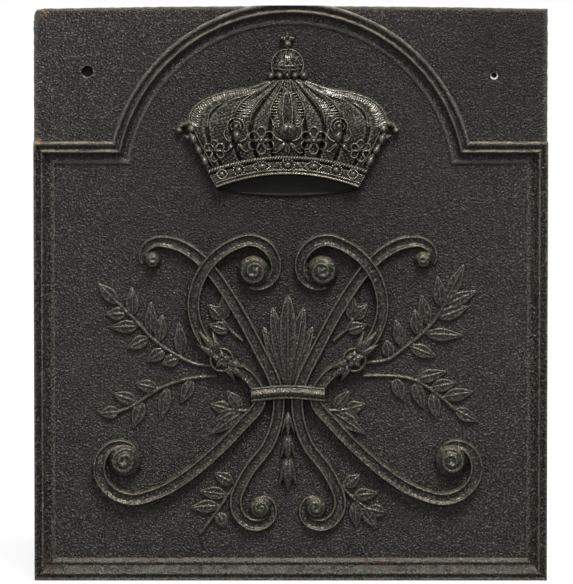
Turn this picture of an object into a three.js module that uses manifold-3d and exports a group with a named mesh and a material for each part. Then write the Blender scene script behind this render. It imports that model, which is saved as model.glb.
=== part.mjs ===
// A cast-iron fireback: a flat plate with two fixing holes, framed by a stepped moulding that rises
// to a round arch, with a crown over bound scrolls, two star rosettes and leafy sprays in relief.
// Millimetres. X runs to the viewer's right, Z up, and the decorated face looks towards -Y.

import * as THREE from 'three';
import { mergeVertices } from 'three/addons/utils/BufferGeometryUtils.js';
import Module from 'manifold-3d';

const wasm = await Module();
wasm.setup();

// Plate
const plateWidth = 560;
const plateHeight = 627;
const plateThickness = 14;
const topBow = 3;
const cornerRadius = 4;

// Fixing holes, placed from the plate's centre line and its top edge
const leftHoleDiameter = 12.7;
const leftHoleFromCentre = 221.5;
const leftHoleBelowTop = 71;
const rightHoleDiameter = 6.6;
const rightHoleFromCentre = 221.5;
const rightHoleBelowTop = 75;
const leftRimWidth = 0.8;
const rightRimWidth = 1.4;
const rimDepth = 1.2;
const dishDiameter = 14.5;
const dishDepth = 0.5;

// Frame moulding
const mouldingWidth = 24.5;
const mouldingHeight = 9.4;
const uprightReveal = 22.7;
const archInnerRadius = 176.7;
const archBelowTop = 20.7;
const shoulderRise = 25.1;
const archSplitAngle = 25;
const archCentreHeight = plateHeight - archBelowTop - archInnerRadius;
const shoulderHeight = archCentreHeight + shoulderRise;

// Crown, placed by the foot of its dark lining; its pattern is drawn for an arch of one radius, and
// takes its size from the arch that it stands under
const drawnArchRadius = 176.7;
const crownAxis = -3.5;
const crownDrop = 10.6;
const crownFoot = archCentreHeight - crownDrop;
const crownRelief = 18;
const circletHalfWidth = 87.5;
const circletRelief = 14;
const gemRelief = 3;
const capHalfWidth = 110;
const capRelief = 13;
const archBandRelief = 3;
const orbRadius = 16.7;
const orbHeight = 149;
const orbRelief = 14;
const crossRise = 5.8;
const crossHeight = orbHeight + orbRadius + crossRise;
const crossArm = 7.5;

// Scroll ornament, placed by its axis and by the middle of the collar that binds it; its pattern is
// drawn for a panel of one size, and takes its size from the panel inside the frame
const drawnPanelHalfWidth = 257.3;
const drawnPanelHeight = 454.7;
const ornamentAxis = -3;
const collarHeight = 204;
const strapWidth = 14.5;
const outerStrapRelief = 12;
const innerStrapRelief = 8;
const collarRelief = 16.5;
const rosetteRadius = 14;
const rosetteRelief = 15.5;

// Leafy sprays
const stemWidth = 4.4;
const stemRelief = 4;
const leafWidth = 12;
const leafRelief = 5;

// Clearance between pieces that meet
const gap = 0.3;

// ---------------------------------------------------------------------------------------------
// Solids. Every piece is drawn in the plane of the panel, x to the right and y up, and z is the
// height of its relief.
// ---------------------------------------------------------------------------------------------

function toSolid(geometry) {
  geometry.deleteAttribute('normal');
  geometry.deleteAttribute('uv');
  const merged = mergeVertices(geometry, 1e-4);
  const corners = merged.index.array;
  const triangles = [];
  for (let i = 0; i < corners.length; i += 3) {
    const [a, b, c] = corners.subarray(i, i + 3);
    if (a !== b && b !== c && c !== a) {
      triangles.push(a, b, c);
    }
  }
  const data = {
    numProp: 3,
    vertProperties: new Float32Array(merged.attributes.position.array),
    triVerts: new Uint32Array(triangles),
  };
  return new wasm.Manifold(new wasm.Mesh(data));
}

function toGeometry(solid) {
  const mesh = solid.getMesh();
  const geometry = new THREE.BufferGeometry();
  geometry.setAttribute('position', new THREE.BufferAttribute(mesh.vertProperties, 3));
  geometry.setIndex(new THREE.BufferAttribute(mesh.triVerts, 1));
  geometry.computeVertexNormals();
  return geometry;
}

// A flat-backed slab of an outline between two heights
function slab(outline, low, high) {
  const shape = outline instanceof THREE.Shape ? outline : new THREE.Shape(outline);
  const geometry = new THREE.ExtrudeGeometry(shape, {
    depth: high - low,
    bevelEnabled: false,
    curveSegments: 12,
  });
  geometry.translate(0, 0, low);
  return toSolid(geometry);
}

// Rings of points, one above the other, closed by a flat back and by a flat top or a peak
function stack(rings) {
  const count = rings[0].length;
  const positions = [];
  const indices = [];
  for (const ring of rings) {
    for (const point of ring) {
      positions.push(point.x, point.y, point.z);
    }
  }
  for (let level = 0; level + 1 < rings.length; level += 1) {
    for (let i = 0; i < count; i += 1) {
      const a = level * count + i;
      const b = level * count + ((i + 1) % count);
      indices.push(a, b, b + count, a, b + count, a + count);
    }
  }
  const back = rings[0].map((point) => new THREE.Vector2(point.x, point.y));
  for (const [a, b, c] of THREE.ShapeUtils.triangulateShape(back, [])) {
    indices.push(a, c, b);
  }
  const top = (rings.length - 1) * count;
  const front = rings[rings.length - 1].map((point) => new THREE.Vector2(point.x, point.y));
  for (const [a, b, c] of THREE.ShapeUtils.triangulateShape(front, [])) {
    indices.push(top + a, top + b, top + c);
  }
  const geometry = new THREE.BufferGeometry();
  geometry.setAttribute('position', new THREE.Float32BufferAttribute(positions, 3));
  geometry.setIndex(indices);
  return toSolid(geometry);
}

// A cushion over an outline that runs anticlockwise: each step gives the outline's share of its
// size about the middle, and the share of the full height that it has reached
function cushion(outline, middle, height, steps) {
  const rings = steps.map(([size, rise]) => outline.map((point) => new THREE.Vector3(
    middle.x + (point.x - middle.x) * size,
    middle.y + (point.y - middle.y) * size,
    height * rise,
  )));
  return stack(rings);
}

// A round boss with a domed top, or an oval one where it is squeezed
function boss(x, y, radius, height, sides = 10, squeeze = 1) {
  const dome = [90, 62, 30, 0].map((degrees) => {
    const turn = THREE.MathUtils.degToRad(degrees);
    return new THREE.Vector2(radius * Math.sin(turn), height * Math.cos(turn));
  });
  dome[dome.length - 1].x = 0;
  const geometry = new THREE.LatheGeometry([new THREE.Vector2(0, 0), ...dome], sides);
  geometry.rotateX(Math.PI / 2);
  geometry.scale(1, squeeze, 1);
  geometry.translate(x, y, 0);
  return toSolid(geometry);
}

// A pointed leaf from its foot to its tip, either low or standing on a wall of its own
const lowLeaf = [[1, 0], [0.35, 1]];
const carvedLeaf = [[1, 0], [0.93, 0.5], [0.3, 1]];
const tallLeaf = [[1, 0], [1, 0.72], [0.3, 1]];

function leaf(foot, tip, width, height, steps = carvedLeaf) {
  const along = tip.clone().sub(foot);
  const across = new THREE.Vector2(-along.y, along.x).normalize().multiplyScalar(width / 2);
  const at = (share, side) => foot.clone().addScaledVector(along, share).addScaledVector(across, side);
  const outline = [at(0, 0), at(0.28, -0.85), at(0.62, -0.8), at(1, 0), at(0.62, 0.8), at(0.28, 0.85)];
  return cushion(outline, at(0.48, 0), height, steps);
}

// A strap along a route: a hollow between two raised edges, on a flat back
const strapSection = [[-1, 0], [-0.88, 0.92], [-0.62, 1], [0, 0.68], [0.62, 1], [0.88, 0.92], [1, 0]];
const bandSection = [[-1, 0], [-0.85, 0.98], [-0.5, 1], [0, 0.95], [0.5, 1], [0.85, 0.98], [1, 0]];
const ribSection = [[-1, 0], [-0.7, 0.75], [0, 1], [0.7, 0.75], [1, 0]];
const stemSection = [[-1, 0], [-0.5, 0.9], [0.5, 0.9], [1, 0]];

function sweep(route, steps, widthAt, heightAt, section) {
  const positions = [];
  const indices = [];
  const count = section.length;
  for (let step = 0; step <= steps; step += 1) {
    const share = step / steps;
    const point = route.getPointAt(share);
    const run = route.getTangentAt(share);
    for (const [side, rise] of section) {
      const out = side * widthAt(share) / 2;
      positions.push(point.x + run.y * out, point.y - run.x * out, rise * heightAt(share));
    }
  }
  for (let step = 0; step < steps; step += 1) {
    for (let i = 0; i < count; i += 1) {
      const a = step * count + i;
      const b = step * count + ((i + 1) % count);
      indices.push(a, b, b + count, a, b + count, a + count);
    }
  }
  const face = section.map(([side, rise]) => new THREE.Vector2(side, rise));
  const last = steps * count;
  for (const [a, b, c] of THREE.ShapeUtils.triangulateShape(face, [])) {
    indices.push(a, b, c, last + a, last + c, last + b);
  }
  const geometry = new THREE.BufferGeometry();
  geometry.setAttribute('position', new THREE.Float32BufferAttribute(positions, 3));
  geometry.setIndex(indices);
  return toSolid(geometry);
}

function join(solids) {
  return solids.reduce((whole, solid) => whole.add(solid));
}

// A room reaches a little below the panel, so that it cuts cleanly through a flat back
const roomDepth = 0.1;

function sink(solid) {
  const height = solid.boundingBox().max[2];
  return solid.scale([1, 1, (height + roomDepth) / height]).translate([0, 0, -roomDepth]);
}

// The room that a lower piece needs inside the one that lies over it
function roomFor(solid) {
  const box = solid.boundingBox();
  const half = [0, 1].map((i) => (box.max[i] - box.min[i]) / 2);
  const middle = [0, 1].map((i) => (box.max[i] + box.min[i]) / 2);
  const grow = [...half, box.max[2]].map((size) => (size + gap) / size);
  const grown = solid
    .translate([-middle[0], -middle[1], 0])
    .scale(grow)
    .translate([middle[0], middle[1], 0]);
  return sink(grown);
}

function points(pairs, originX = 0, originY = 0, side = 1) {
  return pairs.map(([x, y]) => new THREE.Vector2(originX + side * x, originY + y));
}

const reach = plateWidth + plateHeight;

// ---------------------------------------------------------------------------------------------
// Plate: one flat casting with a slightly bowed top edge and the two fixing holes
// ---------------------------------------------------------------------------------------------

const plateOutline = new THREE.Shape();
plateOutline.moveTo(-plateWidth / 2, 0);
plateOutline.lineTo(plateWidth / 2, 0);
plateOutline.lineTo(plateWidth / 2, plateHeight - topBow - cornerRadius);
plateOutline.quadraticCurveTo(
  plateWidth / 2, plateHeight - topBow, plateWidth / 2 - cornerRadius, plateHeight - topBow,
);
plateOutline.quadraticCurveTo(
  0, plateHeight + topBow, cornerRadius - plateWidth / 2, plateHeight - topBow,
);
plateOutline.quadraticCurveTo(
  -plateWidth / 2, plateHeight - topBow, -plateWidth / 2, plateHeight - topBow - cornerRadius,
);

function fixingHole(x, y, diameter, rimWidth) {
  const bore = new THREE.CylinderGeometry(diameter / 2, diameter / 2, plateThickness * 2, 32);
  bore.rotateX(Math.PI / 2);
  bore.translate(x, y, -plateThickness / 2);
  const wornRim = new THREE.CylinderGeometry(diameter / 2 + 2 * rimWidth, diameter / 2, 2 * rimDepth, 32);
  wornRim.rotateX(Math.PI / 2);
  wornRim.translate(x, y, 0);
  return toSolid(bore).add(toSolid(wornRim));
}

const leftHoleHeight = plateHeight - leftHoleBelowTop;
const rightHoleHeight = plateHeight - rightHoleBelowTop;
const dish = new THREE.CylinderGeometry(dishDiameter / 2, dishDiameter / 2 - dishDepth, 2 * dishDepth, 32);
dish.rotateX(Math.PI / 2);
dish.translate(rightHoleFromCentre, rightHoleHeight, 0);

const backPlate = slab(plateOutline, -plateThickness, 0)
  .subtract(fixingHole(-leftHoleFromCentre, leftHoleHeight, leftHoleDiameter, leftRimWidth))
  .subtract(fixingHole(rightHoleFromCentre, rightHoleHeight, rightHoleDiameter, rightRimWidth))
  .subtract(toSolid(dish));

// ---------------------------------------------------------------------------------------------
// Frame moulding: a bead, a cove, a sharp ridge, a groove and an outer roll, mitred at each corner
// ---------------------------------------------------------------------------------------------

// Shares of the moulding's width from its inner edge, and of its height
const mouldingSection = [[0, 0], [0.02, 0.35], [0.1, 0.45], [0.23, 0.26], [0.42, 0.42], [0.56, 0.95],
  [0.63, 1], [0.68, 0.64], [0.79, 0.62], [0.9, 0.85], [1, 0.7], [1, 0]];

function mouldingFace() {
  return mouldingSection.map(([out, rise]) => new THREE.Vector2(out * mouldingWidth, rise * mouldingHeight));
}

// A straight length whose inner edge lies on y = 0 and whose outer edge is above it
function mouldingBar(length) {
  const geometry = new THREE.ExtrudeGeometry(new THREE.Shape(mouldingFace()), {
    depth: length,
    bevelEnabled: false,
  });
  geometry.translate(0, 0, -length / 2);
  geometry.applyMatrix4(new THREE.Matrix4().makeBasis(
    new THREE.Vector3(0, 1, 0), new THREE.Vector3(0, 0, 1), new THREE.Vector3(1, 0, 0),
  ));
  return toSolid(geometry);
}

// The outline that each length keeps, drawn back by half of the clearance from its neighbours
function mitred(bar, outline) {
  const kept = slab(outline, -1, mouldingHeight + 1);
  return bar.intersect(kept).intersect(slab(plateOutline, -1, mouldingHeight + 1));
}

const innerHalfWidth = plateWidth / 2 - uprightReveal;
const outerHalfWidth = innerHalfWidth + mouldingWidth;
const baseHeight = mouldingWidth;
const shoulderTop = shoulderHeight + mouldingWidth;
const archOuterRadius = archInnerRadius + mouldingWidth;
const innerMitreX = Math.sqrt(archInnerRadius ** 2 - (shoulderHeight - archCentreHeight) ** 2);
const outerMitreX = Math.sqrt(archOuterRadius ** 2 - (shoulderTop - archCentreHeight) ** 2);

function uprightMoulding(side) {
  const bar = mouldingBar(2 * plateHeight)
    .rotate([0, 0, -90 * side])
    .translate([side * innerHalfWidth, 0, 0]);
  const outline = points([
    [innerHalfWidth, baseHeight + gap],
    [outerHalfWidth, gap],
    [outerHalfWidth, shoulderTop - gap],
    [innerHalfWidth, shoulderHeight - gap],
  ], 0, 0, side);
  return mitred(bar, outline);
}

function baseMoulding() {
  const bar = mouldingBar(2 * plateWidth).rotate([0, 0, 180]).translate([0, baseHeight, 0]);
  const outline = points([
    [-innerHalfWidth, baseHeight],
    [-outerHalfWidth, 0],
    [outerHalfWidth, 0],
    [innerHalfWidth, baseHeight],
  ]);
  return mitred(bar, outline);
}

function shoulderMoulding(side) {
  const bar = mouldingBar(2 * plateWidth).translate([0, shoulderHeight, 0]);
  const outline = points([
    [innerMitreX + gap, shoulderHeight],
    [innerHalfWidth, shoulderHeight],
    [outerHalfWidth, shoulderTop],
    [outerMitreX + gap, shoulderTop],
  ], 0, 0, side);
  return mitred(bar, outline);
}

function archRing() {
  const profile = mouldingFace().map((point) => new THREE.Vector2(point.x + archInnerRadius, point.y));
  profile.reverse();
  profile.push(profile[0].clone());
  const geometry = new THREE.LatheGeometry(profile, 96);
  geometry.rotateX(Math.PI / 2);
  geometry.translate(0, archCentreHeight, 0);
  return toSolid(geometry);
}

const splitRun = Math.tan(THREE.MathUtils.degToRad(archSplitAngle)) * reach;

function archTopMoulding() {
  const outline = points([[0, 0], [splitRun, reach], [-splitRun, reach]], 0, archCentreHeight);
  return mitred(archRing(), outline);
}

function archSideMoulding(side) {
  const mitreRun = (outerMitreX - innerMitreX) / mouldingWidth;
  const split = gap / Math.cos(THREE.MathUtils.degToRad(archSplitAngle));
  const footRun = innerMitreX - mitreRun * (shoulderHeight - archCentreHeight);
  const outline = points([
    [split, archCentreHeight],
    [footRun, archCentreHeight],
    [footRun + mitreRun * reach, archCentreHeight + reach],
    [splitRun + split, archCentreHeight + reach],
  ], 0, 0, side);
  return mitred(archRing(), outline);
}

// ---------------------------------------------------------------------------------------------
// Crown: a jewelled circlet over its dark lining, a domed cap under five beaded arches, fleurons
// and flowers, and an orb with a small cross
// ---------------------------------------------------------------------------------------------

const circletTopMiddle = 43.8;
const circletTopEnd = 28.5;
const circletFootMiddle = 24;
const circletFootEnd = 9.5;
const circletFootHalfWidth = circletHalfWidth - 10.5;
const liningEnd = 7.5;
const capShoulderHeight = 78;
const capTopHeight = 127;
const capNeckHalfWidth = 20;
const arcSteps = 14;

// The height of a shallow arc that stands at one height in the middle and another at its ends
function arcHeight(x, halfWidth, middle, end) {
  return end + (middle - end) * (1 - (x / halfWidth) ** 2);
}

function arcPoints(halfWidth, middle, end) {
  return Array.from({ length: arcSteps + 1 }, (unused, i) => {
    const x = halfWidth * (2 * i / arcSteps - 1);
    return [x, arcHeight(x, halfWidth, middle, end)];
  });
}

function crownPoints(pairs, side = 1) {
  return points(pairs, crownAxis, crownFoot, side);
}

function crownPoint(x, y) {
  return new THREE.Vector2(crownAxis + x, crownFoot + y);
}

function circlet() {
  const rope = 2.2;
  const top = arcPoints(circletHalfWidth, circletTopMiddle, circletTopEnd).reverse();
  const foot = arcPoints(circletFootHalfWidth, circletFootMiddle, circletFootEnd);
  const band = slab(crownPoints([...foot, ...top]), 0, circletRelief - 3);
  const ropeRoute = (line, inset) => new THREE.SplineCurve(crownPoints(line.map(([x, y]) => [x, y + inset])));
  const height = () => circletRelief;
  const width = () => 2 * rope;
  const upper = sweep(ropeRoute([...top].reverse(), -rope - gap), arcSteps, width, height, stemSection);
  const lower = sweep(ropeRoute(foot, rope + gap), arcSteps, width, height, stemSection);
  return join([band, upper, lower]);
}

function circletLining() {
  const top = arcPoints(circletFootHalfWidth, circletFootMiddle - gap, circletFootEnd - gap).reverse();
  const foot = arcPoints(circletFootHalfWidth, 0, liningEnd);
  const outline = [...foot, ...top];
  const back = crownPoints(outline).map((point) => new THREE.Vector3(point.x, point.y, 0));
  const front = crownPoints(outline).map((point, i) => {
    const rise = i < foot.length ? 0.15 : 0.75;
    return new THREE.Vector3(point.x, point.y, circletRelief * rise);
  });
  return stack([back, front]);
}

// The gems stand at equal angles round the circlet, so the outer ones are seen closer together
function gem(index) {
  const ringRadius = circletHalfWidth - 5.5;
  const x = ringRadius * Math.sin(THREE.MathUtils.degToRad(20 * (index - 3)));
  const middle = (circletTopMiddle + circletFootMiddle) / 2;
  const end = (circletTopEnd + circletFootEnd) / 2 + 1;
  const at = crownPoint(x, arcHeight(x, circletHalfWidth, middle, end));
  const long = index % 2 === 0 ? 6.5 : 9;
  const short = index % 2 === 0 ? 5 : 4.6;
  const sides = index % 2 === 0 ? 12 : 4;
  const outline = Array.from({ length: sides }, (unused, i) => {
    const turn = 2 * Math.PI * i / sides;
    return new THREE.Vector2(at.x + long * Math.cos(turn), at.y + short * Math.sin(turn));
  });
  const seat = circletRelief - 3 + gap;
  return cushion(outline, at, gemRelief, [[1, 0], [0.95, 0.5], [0.5, 1]]).translate([0, 0, seat]);
}

function capOutline() {
  const foot = arcPoints(circletHalfWidth, circletTopMiddle + gap, circletTopEnd + gap);
  const side = [[capHalfWidth - 4, 62], [capHalfWidth, capShoulderHeight], [capHalfWidth - 2, 91],
    [capHalfWidth - 14, 104], [76, 113], [44, 119], [capNeckHalfWidth, capTopHeight]];
  const mirrored = side.map(([x, y]) => [-x, y]).reverse();
  return crownPoints([...foot, ...side, ...mirrored]);
}

function crownCap() {
  return cushion(capOutline(), crownPoint(0, 82), capRelief, [[1, 0], [0.97, 0.4], [0.85, 0.75], [0.5, 1]]);
}

const capSolid = crownCap();
const capRoom = roomFor(capSolid);
const circletSolid = circlet();
const circletRoom = roomFor(circletSolid);

// A beaded arch over the cap, from the orb down to its fleuron
function beadedArch([route, widths, low], side, room = 0) {
  const curve = new THREE.SplineCurve(crownPoints(route, side));
  const width = (share) => THREE.MathUtils.lerp(widths[0], widths[1], share) + 2 * room;
  const full = capRelief + archBandRelief;
  const height = (share) => THREE.MathUtils.lerp(full, low, share) + room;
  return sweep(curve, 9, width, height, bandSection);
}

const centreArch = [[[0, 126], [0, 108], [0, 90], [0, 80]], [12, 27], capRelief + 3];
const innerArch = [[[13, 125], [30, 114], [48, 99], [59, 80]], [8, 12], capRelief + 2.5];
const outerArch = [[[20, 121], [52, 112], [84, 101], [100, 82]], [8, 12], 10];

function fleuron(x, y, size, height) {
  const foot = crownPoint(x, y - size);
  const lobe = (dx, dy, width) => leaf(
    foot, crownPoint(x + dx * size, y + dy * size), width * size, height - 1, tallLeaf,
  );
  const knob = boss(crownAxis + x, crownFoot + y + 0.45 * size, 0.55 * size, height, 12);
  return join([lobe(0, 1.1, 0.9), lobe(0.95, 0.35, 0.7), lobe(-0.95, 0.35, 0.7), knob]);
}

function flower(x, y, radius, height, petals = 6) {
  const centre = crownPoint(x, y);
  const solids = [boss(centre.x, centre.y, radius * 0.42, height, 8)];
  for (let i = 0; i < petals; i += 1) {
    const turn = 2 * Math.PI * (i + 0.5) / petals;
    const tip = centre.clone().add(new THREE.Vector2(Math.cos(turn), Math.sin(turn)).multiplyScalar(radius));
    solids.push(leaf(centre, tip, radius * 0.8, height - 1, tallLeaf));
  }
  return join(solids);
}

// A fleuron in profile at the end of the circlet: a leaning rod with a drooping leaf
function sideFleuron(side) {
  const rise = [[88, 30], [95, 48], [104, 66], [109, 77], [119, 75]];
  const route = new THREE.SplineCurve(crownPoints(rise, side));
  const width = (share) => THREE.MathUtils.lerp(9, 5, share);
  const height = (share) => THREE.MathUtils.lerp(12, 9, share);
  const rod = sweep(route, 14, width, height, ribSection);
  const droop = leaf(crownPoint(side * 104, 77), crownPoint(side * 121, 69), 8, 8);
  return rod.add(droop).subtract(capRoom).subtract(circletRoom);
}

function orb() {
  const ball = boss(crownAxis, crownFoot + orbHeight, orbRadius, orbRelief, 18);
  const reachOut = orbRadius - 1;
  const band = [[-reachOut, orbHeight - 4.5], [0, orbHeight - 6], [reachOut, orbHeight - 4.5]];
  const route = new THREE.SplineCurve(crownPoints(band));
  const height = (share) => 1 + orbRelief * Math.sin(Math.PI * THREE.MathUtils.lerp(0.12, 0.88, share));
  return ball.add(sweep(route, 8, () => 3.6, height, stemSection));
}

function orbCollar() {
  const middle = crownPoint(0, orbHeight - 15.5);
  const beads = [-17.5, -8.2, 8.2, 17.5].map((x) => boss(middle.x + x, middle.y, 4.6, 9, 8));
  const saddle = boss(middle.x, middle.y - 2, 19, 7, 12, 0.25);
  return join([saddle, ...beads]);
}

function orbCross() {
  const middle = crownPoint(0, crossHeight);
  const arm = (dx, dy) => leaf(middle, crownPoint(dx, crossHeight + dy), 6, 8, lowLeaf);
  const arms = [arm(0, crossArm), arm(crossArm, 0), arm(-crossArm, 0), arm(0, -1.2 * crossArm)];
  return join([...arms, boss(middle.x, middle.y, 3, 9, 8)]);
}

const orbSolid = orb();
const orbCollarSolid = orbCollar().subtract(roomFor(orbSolid)).subtract(capRoom);
const orbCrossSolid = orbCross().subtract(roomFor(orbSolid));
const underArches = join([roomFor(orbSolid), roomFor(orbCollarSolid), capRoom, circletRoom]);

function sideArch(arch, side, ...above) {
  const room = join(above.map((other) => sink(beadedArch(other, side, gap))));
  return beadedArch(arch, side).subtract(underArches).subtract(room);
}

const archBands = {
  crown_left_outer_arch: sideArch(outerArch, -1, centreArch, innerArch),
  crown_left_inner_arch: sideArch(innerArch, -1, centreArch),
  crown_centre_arch: beadedArch(centreArch, 1).subtract(underArches),
  crown_right_inner_arch: sideArch(innerArch, 1, centreArch),
  crown_right_outer_arch: sideArch(outerArch, 1, centreArch, innerArch),
};
const archRoom = [outerArch, innerArch, centreArch].flatMap((arch) => [
  sink(beadedArch(arch, -1, gap)),
  sink(beadedArch(arch, 1, gap)),
]);
const bandRoom = join([...archRoom, capRoom, circletRoom]);

const crownFlowers = {
  crown_centre_fleuron: fleuron(0, 63, 17, crownRelief),
  crown_left_fleuron: fleuron(-57, 61, 15, crownRelief - 1),
  crown_right_fleuron: fleuron(57, 61, 15, crownRelief - 1),
  crown_left_inner_flower: flower(-29, 62, 13, crownRelief - 1),
  crown_right_inner_flower: flower(29, 62, 13, crownRelief - 1),
  crown_left_outer_flower: flower(-81.5, 51, 9.5, 15),
  crown_right_outer_flower: flower(81.5, 51, 9.5, 15),
};

// ---------------------------------------------------------------------------------------------
// Scroll ornament: two pairs of S-shaped straps, bound at the waist by a collar. The outer pair
// rises from large volutes, and the inner pair passes under it.
// ---------------------------------------------------------------------------------------------

// Points of a volute that turns from one angle to another while its radius runs down or up
function volute(x, y, fromAngle, toAngle, fromRadius, toRadius) {
  const steps = 8;
  return Array.from({ length: steps + 1 }, (unused, i) => {
    const share = i / steps;
    const turn = THREE.MathUtils.degToRad(fromAngle + (toAngle - fromAngle) * share);
    const radius = fromRadius * (toRadius / fromRadius) ** share;
    return [x + radius * Math.cos(turn), y + radius * Math.sin(turn)];
  });
}

function ornamentPoints(pairs, side = 1) {
  return points(pairs, ornamentAxis, collarHeight, side);
}

// Outward distance from the axis, and height over the collar
const lowerVolute = [178, -73];
const upperCurl = [37, 134];
const topTerminal = [147, 146];
const lowerCurl = [30, -124];

const outerRoute = [
  ...volute(...lowerVolute, 190, -105, 11, 43),
  [134, -104], [106, -86], [78, -62], [50, -33], [29, -6], [38, 17], [72, 38], [95, 62], [103, 94],
  [94, 128], [70, 156],
  ...volute(...upperCurl, 85, 285, 34, 15),
];
const innerRoute = [
  ...volute(...topTerminal, -20, 100, 10, 21),
  [118, 167], [95, 150], [72, 124], [50, 86], [30, 46], [15, 18], [10, -4], [12, -28], [22, -56],
  [42, -82],
  ...volute(...lowerCurl, 40, -265, 31, 10),
];

function taper(share) {
  return Math.min(1, 0.5 + 5 * Math.min(share, 1 - share));
}

function scroll(route, side, relief, ends, room) {
  const curve = new THREE.SplineCurve(ornamentPoints(route, side));
  const width = (share) => strapWidth * taper(share) + 2 * room;
  const strap = sweep(curve, 60, width, () => relief + room, strapSection);
  const eyes = ends.map(([[x, y], radius, height]) => boss(
    ornamentAxis + side * x, collarHeight + y, radius + room, height + room, 12,
  ));
  return join([strap, ...eyes]);
}

function innerScroll(side, room = 0) {
  return scroll(innerRoute, side, innerStrapRelief, [[topTerminal, 9, 9], [lowerCurl, 9, 10]], room);
}

function outerScroll(side, room = 0) {
  return scroll(outerRoute, side, outerStrapRelief, [[lowerVolute, 11.5, 15], [upperCurl, 14, 15]], room);
}

const innerRoom = sink(innerScroll(-1, gap)).add(sink(innerScroll(1, gap)));
const strapRoom = join([innerRoom, sink(outerScroll(-1, gap)), sink(outerScroll(1, gap))]);

function collar() {
  const halfWidth = 40;
  const route = new THREE.SplineCurve(ornamentPoints([[-halfWidth, 0], [0, 3], [halfWidth, 0]]));
  const height = (share) => collarRelief - 2 * Math.abs(2 * share - 1);
  return sweep(route, 8, () => 15, height, ribSection).subtract(strapRoom);
}

function palmette() {
  const foot = ornamentPoints([[0, 14]])[0];
  const lobe = (x, y, width, height) => leaf(foot, ornamentPoints([[x, y]])[0], width, height);
  const fan = [[0, 112, 20, 12], [19, 96, 16, 10], [-19, 96, 16, 10], [31, 72, 13, 8], [-31, 72, 13, 8]];
  return join(fan.map((values) => lobe(...values)));
}

function huskDrop() {
  const husk = (top, length, width) => leaf(...ornamentPoints([[0, top], [0, top - length]]), width, 9);
  return join([husk(-18, 34, 9), husk(-42, 34, 17), husk(-66, 42, 22)]);
}

const rosettePlace = [72, 38];

// A five-pointed star in a round boss, with a leafy husk on the strap above and below it
function rosetteBlank(side) {
  const centre = ornamentPoints([rosettePlace], side)[0];
  const disc = boss(centre.x, centre.y, rosetteRadius, rosetteRelief, 16);
  const husk = (x, y) => leaf(centre, ornamentPoints([[x, y]], side)[0], 22, 14, tallLeaf);
  const husks = [husk(99, 72), husk(42, 14)];
  const star = [];
  for (let i = 0; i < 10; i += 1) {
    const turn = Math.PI / 2 + Math.PI * i / 5;
    const radius = i % 2 === 0 ? 9 : 4;
    star.push(new THREE.Vector2(centre.x + radius * Math.cos(turn), centre.y + radius * Math.sin(turn)));
  }
  const raised = cushion(star, centre, rosetteRelief + 1.5, [[1, 0], [0.95, 0.9], [0.3, 1]]);
  return join([disc, ...husks, raised]);
}

const rosetteBlanks = [rosetteBlank(-1), rosetteBlank(1)];
const sprayRoom = strapRoom.add(roomFor(rosetteBlanks[0])).add(roomFor(rosetteBlanks[1]));

// ---------------------------------------------------------------------------------------------
// Leafy sprays: each one a stem and its leaves, springing from behind the rosettes and straps.
// Places are from the plate's centre line and the collar's middle; each leaf has its tip and the
// share of the stem at which it springs.
// ---------------------------------------------------------------------------------------------

const sprays = {
  upper_left_spray: {
    stem: [[-82, 31], [-104, 33], [-132, 47], [-150, 60], [-168, 79], [-190, 101]],
    leaves: [[-210, 121, 0.96], [-173, 117, 0.8], [-202, 87, 0.86], [-197, 73, 0.72], [-152, 101, 0.6],
      [-179, 50, 0.6], [-140, 87, 0.5], [-157, 36, 0.44], [-141, 33, 0.3], [-122, 79, 0.28]],
  },
  lower_left_spray: {
    stem: [[-80, 20], [-104, 18], [-126, 13], [-147, 4], [-169, -11], [-189, -20]],
    leaves: [[-209, -21, 0.96], [-194, 1, 0.78], [-172, -37, 0.72], [-170, 12, 0.56], [-142, -29, 0.46],
      [-120, -10, 0.22]],
  },
  upper_right_spray: {
    stem: [[76, 34], [106, 38], [126, 52], [142, 65], [158, 82], [172, 107]],
    leaves: [[189, 142, 0.96], [160, 129, 0.88], [203, 113, 0.9], [194, 96, 0.78], [142, 109, 0.68],
      [135, 93, 0.56], [188, 64, 0.6], [114, 82, 0.4], [159, 41, 0.44], [104, 60, 0.26]],
  },
  lower_right_spray: {
    stem: [[78, 20], [108, 20], [130, 17], [147, 9], [167, -6], [180, -18]],
    leaves: [[205, -30, 0.96], [200, 3, 0.8], [182, 13, 0.66], [170, 25, 0.5], [160, -28, 0.7],
      [145, -16, 0.5], [123, -7, 0.3]],
  },
  left_foot_spray: {
    stem: [[-56, -92], [-68, -110], [-82, -130], [-99, -153]],
    leaves: [[-100, -106, 0.3], [-110, -124, 0.5], [-70, -146, 0.6], [-84, -86, 0.12]],
  },
  right_foot_spray: {
    stem: [[50, -92], [64, -110], [84, -126]],
    leaves: [[106, -130, 0.96], [96, -108, 0.5], [72, -146, 0.62], [76, -88, 0.25], [94, -147, 0.85]],
  },
  left_waist_spray: {
    stem: [[-34, -14], [-50, -18], [-66, -17]],
    leaves: [[-88, -11, 0.96], [-82, -30, 0.8], [-70, 4, 0.55], [-88, -44, 0.5]],
  },
  right_waist_spray: {
    stem: [[28, -14], [44, -18], [60, -17]],
    leaves: [[82, -11, 0.96], [76, -30, 0.8], [64, 4, 0.55], [82, -44, 0.5]],
  },
  left_heart_spray: {
    stem: [[-52, 58], [-66, 70], [-74, 82]],
    leaves: [[-90, 98, 0.96], [-74, 107, 0.85], [-90, 76, 0.5]],
  },
  right_heart_spray: {
    stem: [[46, 58], [60, 70], [68, 82]],
    leaves: [[84, 98, 0.96], [68, 107, 0.85], [84, 76, 0.5]],
  },
};

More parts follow.
